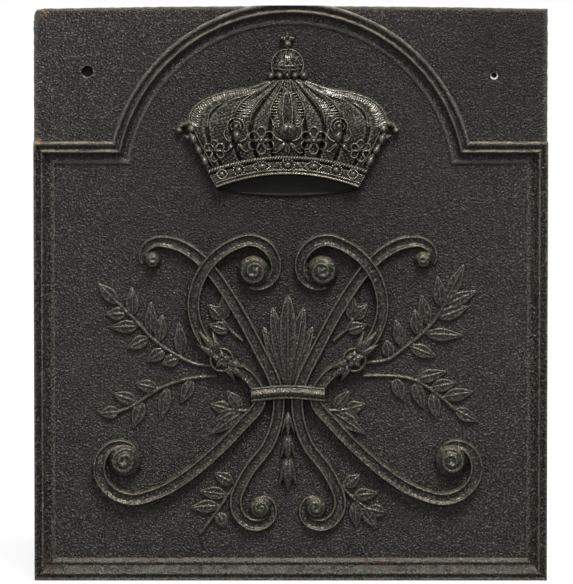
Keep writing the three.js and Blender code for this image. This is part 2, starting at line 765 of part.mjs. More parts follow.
function spray({ stem, leaves }) {
  const route = new THREE.SplineCurve(points(stem, 0, collarHeight));
  const stalk = sweep(route, 3 * (stem.length - 1), () => stemWidth, () => stemRelief, stemSection);
  const solids = leaves.map(([x, y, share]) => {
    const tip = new THREE.Vector2(x, collarHeight + y);
    return leaf(route.getPointAt(share), tip, leafWidth, leafRelief, lowLeaf);
  });
  return join([stalk, ...solids]).subtract(sprayRoom);
}

// ---------------------------------------------------------------------------------------------
// Assembly: every piece lies on the front of the plate, and the whole is centred on its depth
// ---------------------------------------------------------------------------------------------

const castIron = { color: 0x393734, roughness: 0.55, metalness: 0.75 };
const relief = new THREE.Group();

// A piece drawn about a point, taken to the size of the frame that it stands in
function fitted(solid, x, y, sizeX, sizeY) {
  return solid.translate([-x, -y, 0]).scale([sizeX, sizeY, 1]).translate([x, y, 0]);
}

// A slip of metal that a neighbour cuts off is left out
function place(name, solid) {
  const bodies = solid.decompose().sort((a, b) => b.volume() - a.volume());
  const mesh = new THREE.Mesh(toGeometry(bodies[0]), new THREE.MeshStandardMaterial(castIron));
  mesh.name = name;
  relief.add(mesh);
}

function placeInCrown(name, solid) {
  const size = archInnerRadius / drawnArchRadius;
  place(name, fitted(solid, crownAxis, crownFoot, size, size));
}

function placeInPanel(name, solid) {
  place(name, fitted(solid, 0, 0, innerHalfWidth / drawnPanelHalfWidth, shoulderHeight / drawnPanelHeight));
}

place('back_plate', backPlate);
place('base_moulding', baseMoulding());
place('left_upright_moulding', uprightMoulding(-1));
place('right_upright_moulding', uprightMoulding(1));
place('left_shoulder_moulding', shoulderMoulding(-1));
place('right_shoulder_moulding', shoulderMoulding(1));
place('left_arch_moulding', archSideMoulding(-1));
place('top_arch_moulding', archTopMoulding());
place('right_arch_moulding', archSideMoulding(1));

placeInCrown('crown_lining', circletLining());
placeInCrown('crown_circlet', circletSolid);
for (let index = 0; index < 7; index += 1) {
  placeInCrown(`crown_gem_${index + 1}`, gem(index).subtract(circletSolid));
}
placeInCrown('crown_cap', capSolid);
for (const [name, solid] of Object.entries(archBands)) {
  placeInCrown(name, solid);
}
for (const [name, solid] of Object.entries(crownFlowers)) {
  placeInCrown(name, solid.subtract(bandRoom));
}
placeInCrown('crown_left_side_fleuron', sideFleuron(-1).subtract(bandRoom));
placeInCrown('crown_right_side_fleuron', sideFleuron(1).subtract(bandRoom));
placeInCrown('crown_orb', orbSolid);
placeInCrown('crown_orb_collar', orbCollarSolid);
placeInCrown('crown_cross', orbCrossSolid);

placeInPanel('left_inner_scroll', innerScroll(-1));
placeInPanel('right_inner_scroll', innerScroll(1));
placeInPanel('left_outer_scroll', outerScroll(-1).subtract(innerRoom));
placeInPanel('right_outer_scroll', outerScroll(1).subtract(innerRoom));
placeInPanel('scroll_collar', collar());
placeInPanel('palmette', palmette().subtract(strapRoom));
placeInPanel('husk_drop', huskDrop().subtract(strapRoom));
placeInPanel('left_rosette', rosetteBlanks[0].subtract(strapRoom));
placeInPanel('right_rosette', rosetteBlanks[1].subtract(strapRoom));
for (const [name, shape] of Object.entries(sprays)) {
  placeInPanel(name, spray(shape));
}

relief.rotation.x = Math.PI / 2;
relief.position.y = (plateThickness + crownRelief) / 2 - plateThickness;

const fireback = new THREE.Group();
fireback.add(relief);

export default fireback;
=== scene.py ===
from functools import partial
from math import cos, dist, exp, hypot, pi, radians, sin, sqrt

import bpy
from mathutils import Matrix, Vector
from mathutils.bvhtree import BVHTree


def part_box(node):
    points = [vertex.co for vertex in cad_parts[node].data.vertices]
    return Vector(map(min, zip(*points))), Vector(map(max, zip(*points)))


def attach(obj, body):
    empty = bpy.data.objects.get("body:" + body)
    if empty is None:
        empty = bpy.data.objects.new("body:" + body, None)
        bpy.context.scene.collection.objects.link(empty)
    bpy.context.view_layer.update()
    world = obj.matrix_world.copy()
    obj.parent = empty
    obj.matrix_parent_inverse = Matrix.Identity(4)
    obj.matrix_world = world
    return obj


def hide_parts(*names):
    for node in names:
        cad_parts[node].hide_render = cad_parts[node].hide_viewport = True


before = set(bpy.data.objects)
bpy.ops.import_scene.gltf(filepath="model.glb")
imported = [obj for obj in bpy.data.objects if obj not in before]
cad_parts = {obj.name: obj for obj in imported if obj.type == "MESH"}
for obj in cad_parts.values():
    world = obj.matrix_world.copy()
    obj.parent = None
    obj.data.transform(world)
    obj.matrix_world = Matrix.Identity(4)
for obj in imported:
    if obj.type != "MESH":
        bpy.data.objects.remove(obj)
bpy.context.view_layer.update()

# --------------------------------------
# The plate: one slab of grey iron, cast flat in open sand, so that its face is pebbled and gently
# uneven, its edges are rough and rounded, and one top corner is chipped. Two fixing holes go through.
# Pieces are shaped lying down in millimetres, x right, y up and z the relief, then stood upright.

MM = 0.001
PANEL_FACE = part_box("back_plate")[0].y
PLATE_WIDTH = 560.0
PLATE_HEIGHT = 627.0
PLATE_THICKNESS = 14.0
TOP_BOW = 3.0
PLATE_STEP = 2.3
EDGE_TRIM, FOOT_TRIM = 0.5, 0.3
EDGE_ROUND = 2.6
SIDE_STEPS = (-5, -4, -4)
CORNER_CHIP = 9.0
# Each hole is its x, its height and its radius; a dish adds its own radius and how deep it is worn
LEFT_HOLE = (-221.5, 556.0, 6.35)
RIGHT_HOLE = (221.5, 552.0, 3.3)
DISHES = [(*LEFT_HOLE, 7.8, 0.4), (*RIGHT_HOLE, 8.0, 1.8)]
# The old chisel nick: from, to, depth and half width
NICK = ((206.4, 554.5), (211.8, 538.1), 1.2, 1.7)


def take(piece):
    bpy.ops.object.select_all(action="DESELECT")
    piece.select_set(True)
    bpy.context.view_layer.objects.active = piece


def finish_with(piece, kind, **settings):
    take(piece)
    modifier = piece.modifiers.new(kind.title(), kind)
    for name, value in settings.items():
        setattr(modifier, name, value)
    bpy.ops.object.modifier_apply(modifier=modifier.name)


def join(parts):
    take(parts[0])
    for part in parts:
        part.select_set(True)
    bpy.ops.object.join()
    return parts[0]


def edit(piece, *steps, whole=True):
    take(piece)
    bpy.ops.object.mode_set(mode="EDIT")
    if whole:
        bpy.ops.mesh.select_all(action="SELECT")
    for step in steps:
        step()
    bpy.ops.object.mode_set(mode="OBJECT")


def extrude(drop):
    return lambda: bpy.ops.mesh.extrude_region_move(TRANSFORM_OT_translate={"value": (0, 0, drop)})


def close_up(piece):
    edit(
        piece,
        lambda: bpy.ops.mesh.remove_doubles(threshold=0.002),
        lambda: bpy.ops.mesh.normals_make_consistent(inside=False),
    )


# Fills the selected open edge with one face
def lid(piece):
    edit(piece, bpy.ops.mesh.edge_face_add, whole=False)
    close_up(piece)


# Pushes the surface in and out by a cloud of lumps of the given size
def roughen(piece, amount, size, direction="NORMAL"):
    cloud = bpy.data.textures.new("sand_%g" % size, "CLOUDS")
    cloud.noise_scale = size
    cloud.noise_depth = 2
    finish_with(piece, "DISPLACE", texture=cloud, strength=amount, mid_level=0.5, direction=direction)


def srgb(hex_colour):
    channels = [int(hex_colour[i:i + 2], 16) / 255 for i in (1, 3, 5)]
    return [c / 12.92 if c <= 0.04045 else ((c + 0.055) / 1.055) ** 2.4 for c in channels] + [1.0]


# Adds one node with its settings and its inputs, by name or in order, and gives back one output
def add_node(owner, kind, inputs=(), out=0, **settings):
    tree = owner.node_tree
    made = tree.nodes.new("ShaderNode" + kind)
    for name, value in settings.items():
        setattr(made, name, value)
    for socket, value in inputs.items() if isinstance(inputs, dict) else enumerate(inputs):
        if isinstance(value, bpy.types.NodeSocket):
            tree.links.new(value, made.inputs[socket])
        else:
            made.inputs[socket].default_value = value
    return made.outputs[out] if made.outputs else made


GRAIN_DEPTH = 0.003
SOLID_MARK = 0.9


# Grey cast iron blackened with graphite polish: near black with a low broken sheen. The sand leaves
# grains of 1 to 3 mm, coarser toward the corners; dust and old ash lie on what faces up, with painted
# light that lightens the upward faces too; raised edges are rubbed paler, partly as a painted highlight;
# and soot and marks are round patches, each an x, a height, a radius and a softness.
def cast_iron(name, iron="#3d3b38", worn_and_highlight_tone="#7d7972", dust_and_top_light_tone="#8d8570", roughness=0.42, grain=1.0,
              rust=0.0, dust_and_top_light=0.5, rubbed_and_highlight=0.5, soot_and_shade=((0, 430, 140, 150, 0.42),), marks=()):
    material = bpy.data.materials.new(name)
    material.use_nodes = True
    material.node_tree.nodes.clear()
    add = partial(add_node, material)
    place = add("TexCoord", out="Object")
    flat_place = add("VectorMath", (place, (1, 0, 1)), operation="MULTIPLY")

    def near(x, z, radius, soft):
        reach = add("VectorMath", (flat_place, (x * MM, 0, z * MM)), "Value", operation="DISTANCE")
        return add("MapRange", (reach, (radius + soft) * MM, (radius - soft) * MM))

    # Each cloud of noise is its size in millimetres, its detail and how rough that detail is
    grains, fine, lumps, blotches, ash, specks, areas, breaks, gleam = (
        add("TexNoise", {"Vector": place, "Scale": 1.0 / (size * MM), "Detail": detail, "Roughness": rough})
        for size, detail, rough in (
            (2.3, 1, 0.6), (1.25, 1, 0.6), (14, 3, 0.6), (38, 4, 0.6), (9, 3, 0.5), (7, 4, 0.65),
            (60, 2, 0.5), (5, 3, 0.6), (5, 3, 0.5),
        )
    )
    normal = add("NewGeometry", out="Normal")
    raised = add("MapRange", (add("NewGeometry", out="Pointiness"), 0.503, 0.55))
    not_back = add("MapRange", (add("SeparateXYZ", (normal,), "Y"), 0.8, 0.5))
    upward = add("MapRange", (add("SeparateXYZ", (normal,), "Z"), 0.2, 0.9))
    coarse = add("MapRange", (near(0, 270, 280, 90), 0, 1, 1.5, 0.95))

    # Each layer of colour covers the product of its shares
    layers = [
        ((add("MapRange", (lumps, 0.4, 0.66)), 0.4), "#262421"),
        ((add("MapRange", (grains, 0.52, 0.68)), coarse, 0.55), worn_and_highlight_tone),
        ((add("MapRange", (fine, 0.52, 0.34)), coarse, 0.62), "#141312"),
        # Soot patches; on the crown they are painted shade too
        *(((near(*patch), share), "#1e1c1a") for *patch, share in soot_and_shade),
        # Rubbed pale edges: wear, and partly a painted highlight on what stands out
        ((raised, not_back, add("MapRange", (fine, 0.2, 0.6)), rubbed_and_highlight), worn_and_highlight_tone),
        # Dust and ash on what faces up, and painted light: this layer lightens upward faces as light from
        # above would
        ((upward, add("MapRange", (ash, 0.35, 0.65)), dust_and_top_light), dust_and_top_light_tone),
    ]
    if rust:
        flecks = add("MapRange", (specks, 0.56, 0.66)), add("MapRange", (areas, 0.4, 0.6))
        layers.append(((*flecks, rust), "#6e4730"))
    for *patch, mark, share in marks:
        ragged = () if share >= SOLID_MARK else (add("MapRange", (breaks, 0.35, 0.55)),)
        layers.append(((near(*patch), *ragged, share), mark))
    shaded = [c * 0.72 for c in srgb(iron)[:3]] + [1.0]
    colour = add("Mix", {0: add("MapRange", (blotches, 0.35, 0.68)), 6: srgb(iron), 7: shaded}, 2,
                 data_type="RGBA")
    for (share, *factors), tone in layers:
        for factor in factors:
            share = add("Math", (share, factor), operation="MULTIPLY")
        colour = add("Mix", {0: share, 6: colour, 7: srgb(tone)}, 2, data_type="RGBA")

    height = add("Math", (fine, 0.35), operation="MULTIPLY")
    height = add("Math", (grains, 0.65, height), operation="MULTIPLY_ADD")
    bump = add("Bump", {"Height": height, "Strength": 1.0, "Distance": GRAIN_DEPTH * grain})
    gloss = add("MapRange", (gleam, 0.3, 0.7, roughness - 0.1, roughness + 0.14))
    surface = add("BsdfPrincipled", {
        "Base Color": colour, "Roughness": gloss, "Metallic": 0.5, "Normal": bump,
    })
    add("OutputMaterial", (surface,))
    return material


# Each mark is an x, a height, a radius and a softness in millimetres, then its colour and its share
RUST_PATCHES = [
    (-269, 621, 6, 2.5, "#8f7862", 0.8), (-262, 624, 12, 8, "#54402f", 0.4),
    (-276, 479, 4, 2, "#a98a68", 0.85), (-268, 18, 16, 14, "#4d3a2b", 0.5),
    (266, 14, 16, 14, "#4d3a2b", 0.5),
]
BARE_METAL_AND_BORE_SHADE = [
    (*LEFT_HOLE[:2], 7.6, 0.8, "#7d7263", 0.5),
    # Painted shade: the wall of the left bore is painted near black, as the dark inside the hole
    (*LEFT_HOLE[:2], 6.5, 0.1, "#0b0a09", 1.0),
    (RIGHT_HOLE[0], RIGHT_HOLE[1] - 1.2, 4.1, 0.3, "#ddd7cb", 1.0),
]
# The panel: dull and pebbled, sootiest under the arch and at the top right, bare round the holes, with
# painted shade down the left bore
sand_cast = cast_iron("sand_cast_iron_panel", iron="#393734", worn_and_highlight_tone="#807a6f", roughness=0.36, grain=1.1,
                      soot_and_shade=((0, 440, 150, 150, 0.75), (240, 590, 90, 60, 0.7), (0, 560, 90, 60, 0.45)),
                      marks=RUST_PATCHES + BARE_METAL_AND_BORE_SHADE)


# Stands a piece up on the panel, in metres, in place of the solid that it dresses
def stand(piece, node, material):
    piece.name = f"{node}_relief"
    piece.data.name = piece.name
    piece.data.transform(Matrix.Translation((0, PANEL_FACE, 0)) @ Matrix.Rotation(pi / 2, 4, "X")
                         @ Matrix.Scale(MM, 4))
    piece.data.materials.clear()
    piece.data.materials.append(material)
    for face in piece.data.polygons:
        face.use_smooth = True
    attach(piece, "root")
    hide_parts(node)
    return piece


def plate_top(x):
    return PLATE_HEIGHT - TOP_BOW * (2 * x / PLATE_WIDTH) ** 2


# How far the dished hole mouths and the nick go into the face
def worn_depth(x, y):
    depth = 0.0
    for hole_x, hole_y, bore, dish, sunk in DISHES:
        reach = dist((x, y), (hole_x, hole_y))
        depth += sunk * max(0.0, min(1.0, (dish - reach) / (dish - bore)))
    start, end, cut, width = NICK
    run = Vector(end) - Vector(start)
    share = max(0.0, min(1.0, (Vector((x, y)) - Vector(start)).dot(run) / run.length_squared))
    off = (Vector((x, y)) - Vector(start) - run * share).length
    return depth + cut * exp(-(off / width) ** 2)


def plate():
    across = int(PLATE_WIDTH / PLATE_STEP)
    upward = int(PLATE_HEIGHT / PLATE_STEP)
    bpy.ops.mesh.primitive_grid_add(x_subdivisions=across, y_subdivisions=upward, size=1)
    slab = bpy.context.object
    half = PLATE_WIDTH / 2 - EDGE_TRIM
    for vertex in slab.data.vertices:
        x = vertex.co.x * 2 * half
        y = FOOT_TRIM + (vertex.co.y + 0.5) * (plate_top(x) - FOOT_TRIM - EDGE_TRIM)
        x = max(x, 3.8 - 0.6 * (plate_top(x) - y) - half)
        side = min(half - abs(x), y - FOOT_TRIM, plate_top(x) - EDGE_TRIM - y)
        round_off = max(0.0, EDGE_ROUND - side)
        chip = max(0.0, CORNER_CHIP + 1.6 * sin(1.1 * y) - (x + half) * 0.9 - (plate_top(x) - y) * 0.5)
        vertex.co = (x, y, -0.2 * round_off ** 2 - 0.8 * chip - worn_depth(x, y))
    edit(slab, bpy.ops.mesh.region_to_loop, *(extrude(drop) for drop in SIDE_STEPS))
    for vertex in slab.data.vertices:
        if vertex.co.z < -12:
            vertex.co.z = -PLATE_THICKNESS
    edit(slab, lambda: bpy.ops.mesh.select_all(action="DESELECT"))
    for vertex in slab.data.vertices:
        vertex.select = vertex.co.z < -PLATE_THICKNESS + 0.01
    lid(slab)
    for x, y, radius in (LEFT_HOLE, RIGHT_HOLE):
        bpy.ops.mesh.primitive_cylinder_add(vertices=48, radius=radius, depth=60, location=(x, y, 0))
        bore = bpy.context.object
        finish_with(slab, "BOOLEAN", object=bore, operation="DIFFERENCE", solver="EXACT")
        bpy.data.objects.remove(bore)
    return slab


plate_piece = plate()
roughen(plate_piece, 0.8, 5.0, "Z")
roughen(plate_piece, 1.2, 26.0, "Z")
roughen(plate_piece, 1.1, 8.0, "X")
roughen(plate_piece, 1.1, 8.5, "Y")
for vertex in plate_piece.data.vertices:
    x = max(-PLATE_WIDTH / 2 + 0.1, min(PLATE_WIDTH / 2 - 0.1, vertex.co.x))
    y = max(0.1, min(PLATE_HEIGHT - 0.1, vertex.co.y))
    vertex.co = (x, y, vertex.co.z if vertex.co.z > -11 else -PLATE_THICKNESS)
stand(plate_piece, "back_plate", sand_cast)

# The back is one flat face, which smooth shading would darken toward its edges
for face in plate_piece.data.polygons:
    face.use_smooth = face.normal.y < 0.9

# --------------------------------------
# The frame moulding: a bead, a cove, a sharp ridge, a groove and an outer roll. The pattern was
# planed from lengths of wood mitred at the corners, so the cast lengths meet at crisp mitres.

MOULDING_WIDTH = 24.5
MOULDING_HEIGHT = 9.2
UPRIGHT_REVEAL = 22.7
SHOULDER_HEIGHT = 454.7
ARCH_CENTRE = 429.6
ARCH_RADIUS = 176.7
# Sections as shares of the width, outward from the panel, and of the height
MOULDING_SHARES = [
    (-0.03, -0.15), (0.0, 0.06), (0.02, 0.15), (0.06, 0.21), (0.1, 0.23), (0.15, 0.22), (0.19, 0.18),
    (0.215, 0.15), (0.25, 0.12), (0.3, 0.14), (0.36, 0.24), (0.42, 0.46), (0.47, 0.74), (0.5, 0.92),
    (0.525, 1.0), (0.555, 1.0), (0.58, 0.9), (0.6, 0.7), (0.63, 0.54), (0.67, 0.5), (0.72, 0.54),
    (0.77, 0.68), (0.82, 0.85), (0.87, 0.94), (0.92, 0.94), (0.96, 0.82), (0.99, 0.55), (1.01, 0.15),
    (1.02, -0.15),
]
BASE_SHARES = [
    (-0.03, -0.15), (0.0, 0.1), (0.02, 0.3), (0.06, 0.46), (0.11, 0.53), (0.16, 0.53), (0.21, 0.47),
    (0.25, 0.37), (0.28, 0.34), (0.31, 0.37), (0.36, 0.46), (0.42, 0.6), (0.48, 0.76), (0.54, 0.88),
    (0.59, 0.97), (0.63, 1.0), (0.66, 0.97), (0.7, 0.84), (0.735, 0.72), (0.77, 0.63), (0.81, 0.63),
    (0.85, 0.69), (0.9, 0.74), (0.95, 0.68), (0.99, 0.45), (1.01, 0.15), (1.02, -0.15),
]


def new_object(name, data):
    made = bpy.data.objects.new(name, data)
    bpy.context.scene.collection.objects.link(made)
    return made


def drawn_curve(name, points, closed=False, radii=None):
    curve = bpy.data.curves.new(name, "CURVE")
    curve.dimensions = "2D"
    spline = curve.splines.new("POLY")
    spline.points.add(len(points) - 1)
    for index, (place, point) in enumerate(zip(spline.points, points)):
        place.co = (point[0], point[1], 0, 1)
        place.radius = radii[index] if radii else 1
    spline.use_cyclic_u = closed
    return new_object(name, curve)


def run_along(route, section, radii=None):
    profile = drawn_curve("profile", section, closed=True)
    piece = drawn_curve("run", route, radii=radii)
    piece.data.bevel_mode = "OBJECT"
    piece.data.bevel_object = profile
    piece.data.use_fill_caps = True
    take(piece)
    bpy.ops.object.convert(target="MESH")
    bpy.data.objects.remove(profile)
    close_up(piece)
    return piece


def straight_route(start, end, step=2.5):
    steps = max(2, int(dist(start, end) / step))
    return [
        (start[0] + (end[0] - start[0]) * i / steps, start[1] + (end[1] - start[1]) * i / steps)
        for i in range(steps + 1)
    ]


# The place that lies a radius away from x and y, in the direction of the turn
def polar(x, y, radius, turn):
    return x + radius * cos(turn), y + radius * sin(turn)


def arch_route(from_degrees, to_degrees, step=0.7):
    steps = int(abs(to_degrees - from_degrees) / step)
    turns = [radians(from_degrees + (to_degrees - from_degrees) * i / steps) for i in range(steps + 1)]
    return [polar(0, ARCH_CENTRE, ARCH_RADIUS, t) for t in turns]


# Each cut keeps the side that its direction points away from
def trim(piece, *cuts):
    for point, away in cuts:
        edit(piece, lambda: bpy.ops.mesh.bisect(
            plane_co=(*point, 0), plane_no=(*away, 0), use_fill=True, clear_outer=True,
        ))
    return piece


moulding_section, base_section = (
    [(-out * MOULDING_WIDTH, rise * MOULDING_HEIGHT) for out, rise in shares]
    for shares in (MOULDING_SHARES, BASE_SHARES)
)
inner_half = PLATE_WIDTH / 2 - UPRIGHT_REVEAL
outer_radius = ARCH_RADIUS + MOULDING_WIDTH
shoulder_rise = SHOULDER_HEIGHT - ARCH_CENTRE
inner_mitre = sqrt(ARCH_RADIUS ** 2 - shoulder_rise ** 2)
outer_mitre = sqrt(outer_radius ** 2 - (shoulder_rise + MOULDING_WIDTH) ** 2)
mitre_run = (outer_mitre - inner_mitre) / MOULDING_WIDTH
EDGE = PLATE_WIDTH / 2 - 0.6
OVERRUN = 4
SIDES = ((-1, "left"), (1, "right"))


def moulding_length(name, piece, cuts, material, wear=0.5):
    trim(piece, *cuts)
    close_up(piece)
    roughen(piece, wear, 2.6)
    roughen(piece, 0.8, 16.0)
    for vertex in piece.data.vertices:
        vertex.co.x = max(-EDGE, min(EDGE, vertex.co.x))
        vertex.co.y = max(0.4, min(plate_top(vertex.co.x) - 0.6, vertex.co.y))
        vertex.co.z = max(-1.5, min(MOULDING_HEIGHT + 0.1, vertex.co.z))
    stand(piece, name, material)


# Arch and shoulders: hands have rubbed the ridges pale, partly as a painted highlight, and dust lies along
# their tops with painted light on what faces up
moulding_iron = cast_iron("rubbed_cast_iron_moulding_with_painted_light", iron="#3d3b37", dust_and_top_light_tone="#b5aa90", rubbed_and_highlight=0.75,
                          grain=0.9, dust_and_top_light=1.0, marks=RUST_PATCHES)
# The foot: greyed by the heat and ash of the hearth, with flecks of brown rust in its grooves and painted
# light on its upward faces
base_iron = cast_iron("rust_flecked_cast_iron_base", iron="#53514b", worn_and_highlight_tone="#9d988e", dust_and_top_light_tone="#918c80",
                      rubbed_and_highlight=0.95, rust=1.0, dust_and_top_light=0.8, grain=1.5, marks=RUST_PATCHES)
# The uprights: the roughest sand, pitted and speckled
pitted_iron = cast_iron("pitted_cast_iron_uprights", iron="#393734", worn_and_highlight_tone="#958e80", rubbed_and_highlight=0.65, rust=0.5,
                        grain=2.3, dust_and_top_light=0.6, marks=RUST_PATCHES)

# On the left each length runs the other way
for side, word in SIDES:
    ends = ((side * inner_half, -OVERRUN),
            (side * inner_half, SHOULDER_HEIGHT + MOULDING_WIDTH + OVERRUN))
    upright = run_along(straight_route(*ends[::side], 1.3), [(-x, z) for x, z in moulding_section][::-1])
    moulding_length(f"{word}_upright_moulding", upright, [
        ((side * inner_half, MOULDING_WIDTH), (-side, -1)),
        ((side * inner_half, SHOULDER_HEIGHT), (-side, 1)),
    ], pitted_iron, wear=2.1)
    ends = (side * 120, SHOULDER_HEIGHT), (side * (inner_half + 30), SHOULDER_HEIGHT)
    shoulder = run_along(straight_route(*ends[::side]), moulding_section)
    moulding_length(f"{word}_shoulder_moulding", shoulder, [
        ((side * inner_half, SHOULDER_HEIGHT), (side, -1)),
        ((side * inner_mitre, SHOULDER_HEIGHT), (-side, mitre_run)),
    ], moulding_iron)

base = run_along(straight_route((-290, MOULDING_WIDTH), (290, MOULDING_WIDTH), 1.3),
                 [(-x, z) for x, z in base_section][::-1])
moulding_length("base_moulding", base, [
    ((-inner_half, MOULDING_WIDTH), (-1, 1)),
    ((inner_half, MOULDING_WIDTH), (1, 1)),
], base_iron, wear=0.9)

# The arch is three lengths, which meet at 25 degrees to each side of the top
SPLIT = radians(25)
split_out, split_up = cos(SPLIT), sin(SPLIT)
arch_middle = (0, ARCH_CENTRE)
for word, first, last, cuts in (
    ("top", 116, 64, [(arch_middle, (split_out, -split_up)), (arch_middle, (-split_out, -split_up))]),
    ("left", 178, 113, [(arch_middle, (split_out, split_up)),
                        ((-inner_mitre, SHOULDER_HEIGHT), (-1, -mitre_run))]),
    ("right", 67, 2, [(arch_middle, (-split_out, split_up)),
                      ((inner_mitre, SHOULDER_HEIGHT), (1, -mitre_run))]),
):
    length = run_along(arch_route(first, last), moulding_section)
    moulding_length(f"{word}_arch_moulding", length, cuts, moulding_iron)

# --------------------------------------
# The bound scrolls: flat straps carved with a hollow face between two raised edges, which curl up
# into ball-ended volutes. The inner pair passes under the outer pair.

AXIS = -3.0
COLLAR = 204.0
STRAP_WIDTH = 14.5


# A smooth line through the points, unevenly spaced as they are, then evened out by averaging
def smooth_route(points, step=2.0, rounds=0):
    route = []
    ends = [tuple(2 * a - b for a, b in zip(points[0], points[1])),
            tuple(2 * a - b for a, b in zip(points[-1], points[-2]))]
    padded = [Vector(point) for point in (ends[0], *points, ends[1])]
    for before, start, end, after in zip(padded, padded[1:], padded[2:], padded[3:]):
        into, mid, onward = [max(0.05, (b - a).length) ** 0.5 for a, b in
                               ((before, start), (start, end), (end, after))]
        leave = (start - before) / into - (end - before) / (into + mid) + (end - start) / mid
        arrive = (end - start) / mid - (after - start) / (mid + onward) + (after - end) / onward
        pieces = max(1, round((end - start).length / step))
        for i in range(pieces):
            t = i / pieces
            route.append(start * (1 - 3 * t * t + 2 * t ** 3) + end * (3 * t * t - 2 * t ** 3)
                         + mid * (leave * (t - 2 * t * t + t ** 3) + arrive * (t ** 3 - t * t)))
    route.append(padded[-2])
    for _ in range(rounds):
        evened = ((a + 2 * b + c) / 4 for a, b, c in zip(route, route[1:], route[2:]))
        route = [route[0], *evened, route[-1]]
    return [tuple(point) for point in route]


# The point at a share of the way along a line
def along(line, share):
    return line[round(share * (len(line) - 1))]


def volute(x, y, from_angle, to_angle, from_radius, to_radius, steps=16):
    shares = [i / steps for i in range(steps + 1)]
    return [polar(x, y, from_radius * (to_radius / from_radius) ** share,
                  radians(from_angle + (to_angle - from_angle) * share)) for share in shares]


def in_ornament(points, side=1):
    return [(AXIS + side * x, COLLAR + y) for x, y in points]


def dome(x, y, radius, height, squeeze=1.0, segments=28):
    bpy.ops.mesh.primitive_uv_sphere_add(segments=segments, ring_count=segments // 2, radius=1)
    ball = bpy.context.object
    for vertex in ball.data.vertices:
        vertex.co.x = x + vertex.co.x * radius
        vertex.co.y = y + vertex.co.y * radius * squeeze
        vertex.co.z = vertex.co.z * height if vertex.co.z > 0 else vertex.co.z * 2
    return ball


# Across half a strap: the hollow, as a share of the height, then the rounded raised edge
def strap_section(width, height, hollow):
    half = [(0, hollow), (0.25, hollow + 0.01), (0.45, hollow + 0.07), (0.58, 0.85), (0.67, 0.97),
            (0.76, 1.0), (0.85, 0.95), (0.93, 0.76), (1.01, 0.4), (1.08, 0.0)]
    right = [(x * width / 2, z * height) for x, z in half] + [(0.62 * width, -2)]
    left = [(-x, z) for x, z in reversed(right)]
    return left[:-1] + right


# Joins parts to one closed skin, softened as an ornament is that was cast many times
def melt(parts, voxel=0.8, rounds=2):
    piece = join(parts)
    close_up(piece)
    finish_with(piece, "REMESH", mode="VOXEL", voxel_size=voxel)
    finish_with(piece, "SMOOTH", factor=0.5, iterations=rounds)
    return piece


def taper(share):
    return min(1.0, 0.5 + 5 * min(share, 1 - share))


# Routes in millimetres from the middle of the collar, for the right-hand straps
LOWER_VOLUTE = (178, -73)
UPPER_CURL = (37, 134)
TOP_TERMINAL = (147, 146)
LOWER_CURL = (30, -124)
OUTER_ROUTE = [
    *volute(*LOWER_VOLUTE, 170, -105, 13, 43),
    (134, -104), (106, -86), (78, -62), (50, -33), (30, -7), (40, 17), (70, 38), (94, 64), (103, 96),
    (95, 129), (73, 155),
    *volute(*UPPER_CURL, 80, 285, 35, 16),
]
INNER_ROUTE = [
    *volute(*TOP_TERMINAL, -20, 100, 10, 21),
    (124, 164.5), (105, 155), (88, 140), (71, 118), (50, 84), (30, 46), (16, 18), (10, -4), (12, -28),
    (22, -56), (42, -82),
    *volute(*LOWER_CURL, 40, -265, 31, 10),
]


# A ball end with a ridge that winds in over it
def snail(x, y, radius, height, side, turn):
    ball = dome(x, y, radius, height)
    spiral = [(x + side * r * cos(a), y + r * sin(a)) for r, a in (
        (radius * (0.84 - 0.68 * i / 30), turn - 0.37 * i) for i in range(31)
    )]
    groove = run_along(spiral, [(-2.7, -1), (-1.8, 1.2), (0, 2.3), (1.8, 1.2), (2.7, -1)])
    for vertex in groove.data.vertices:
        reach = min(0.98, hypot(vertex.co.x - x, vertex.co.y - y) / radius)
        vertex.co.z += height * sqrt(1 - reach ** 2)
    return [ball, groove]


# Relief: rubbed smoother than the panel, dusty above with painted light on its upward faces, and with a
# soft gleam on its edges that is partly a painted highlight
relief_cast_with_painted_light = cast_iron("rubbed_cast_iron_relief_with_painted_light", iron="#3c3a36", worn_and_highlight_tone="#989183", grain=0.4,
                        roughness=0.29, rubbed_and_highlight=0.55, dust_and_top_light=1.0)


# Each ball end is its place, its radius, its height and the turn at which its ridge starts
def scroll(name, points, side, width, height, hollow, balls):
    route = smooth_route(in_ornament(points, side), rounds=9)
    radii = [taper(i / (len(route) - 1)) for i in range(len(route))]
    strap = run_along(route, strap_section(width, height, hollow), radii)
    parts = [strap]
    for (x, y), radius, rise, turn in balls:
        parts += snail(AXIS + side * x, COLLAR + y, radius, rise, side, turn)
    piece = melt(parts, 0.82)
    roughen(piece, 0.7, 3.0)
    stand(piece, name, relief_cast_with_painted_light)


for side, word in SIDES:
    scroll(f"{word}_inner_scroll", INNER_ROUTE, side, STRAP_WIDTH, 7.2, 0.5,
           [(TOP_TERMINAL, 9.5, 9.0, 2.0), (LOWER_CURL, 12.5, 10.5, 0.5)])
    scroll(f"{word}_outer_scroll", OUTER_ROUTE, side, STRAP_WIDTH, 10.8, 0.7,
           [(LOWER_VOLUTE, 18.5, 14.5, 2.4), (UPPER_CURL, 18.0, 14.5, 1.0)])

# --------------------------------------
# The collar, palmette, husks and star rosettes: small carved ornaments laid over the straps, soft
# at their edges from many castings of one pattern.


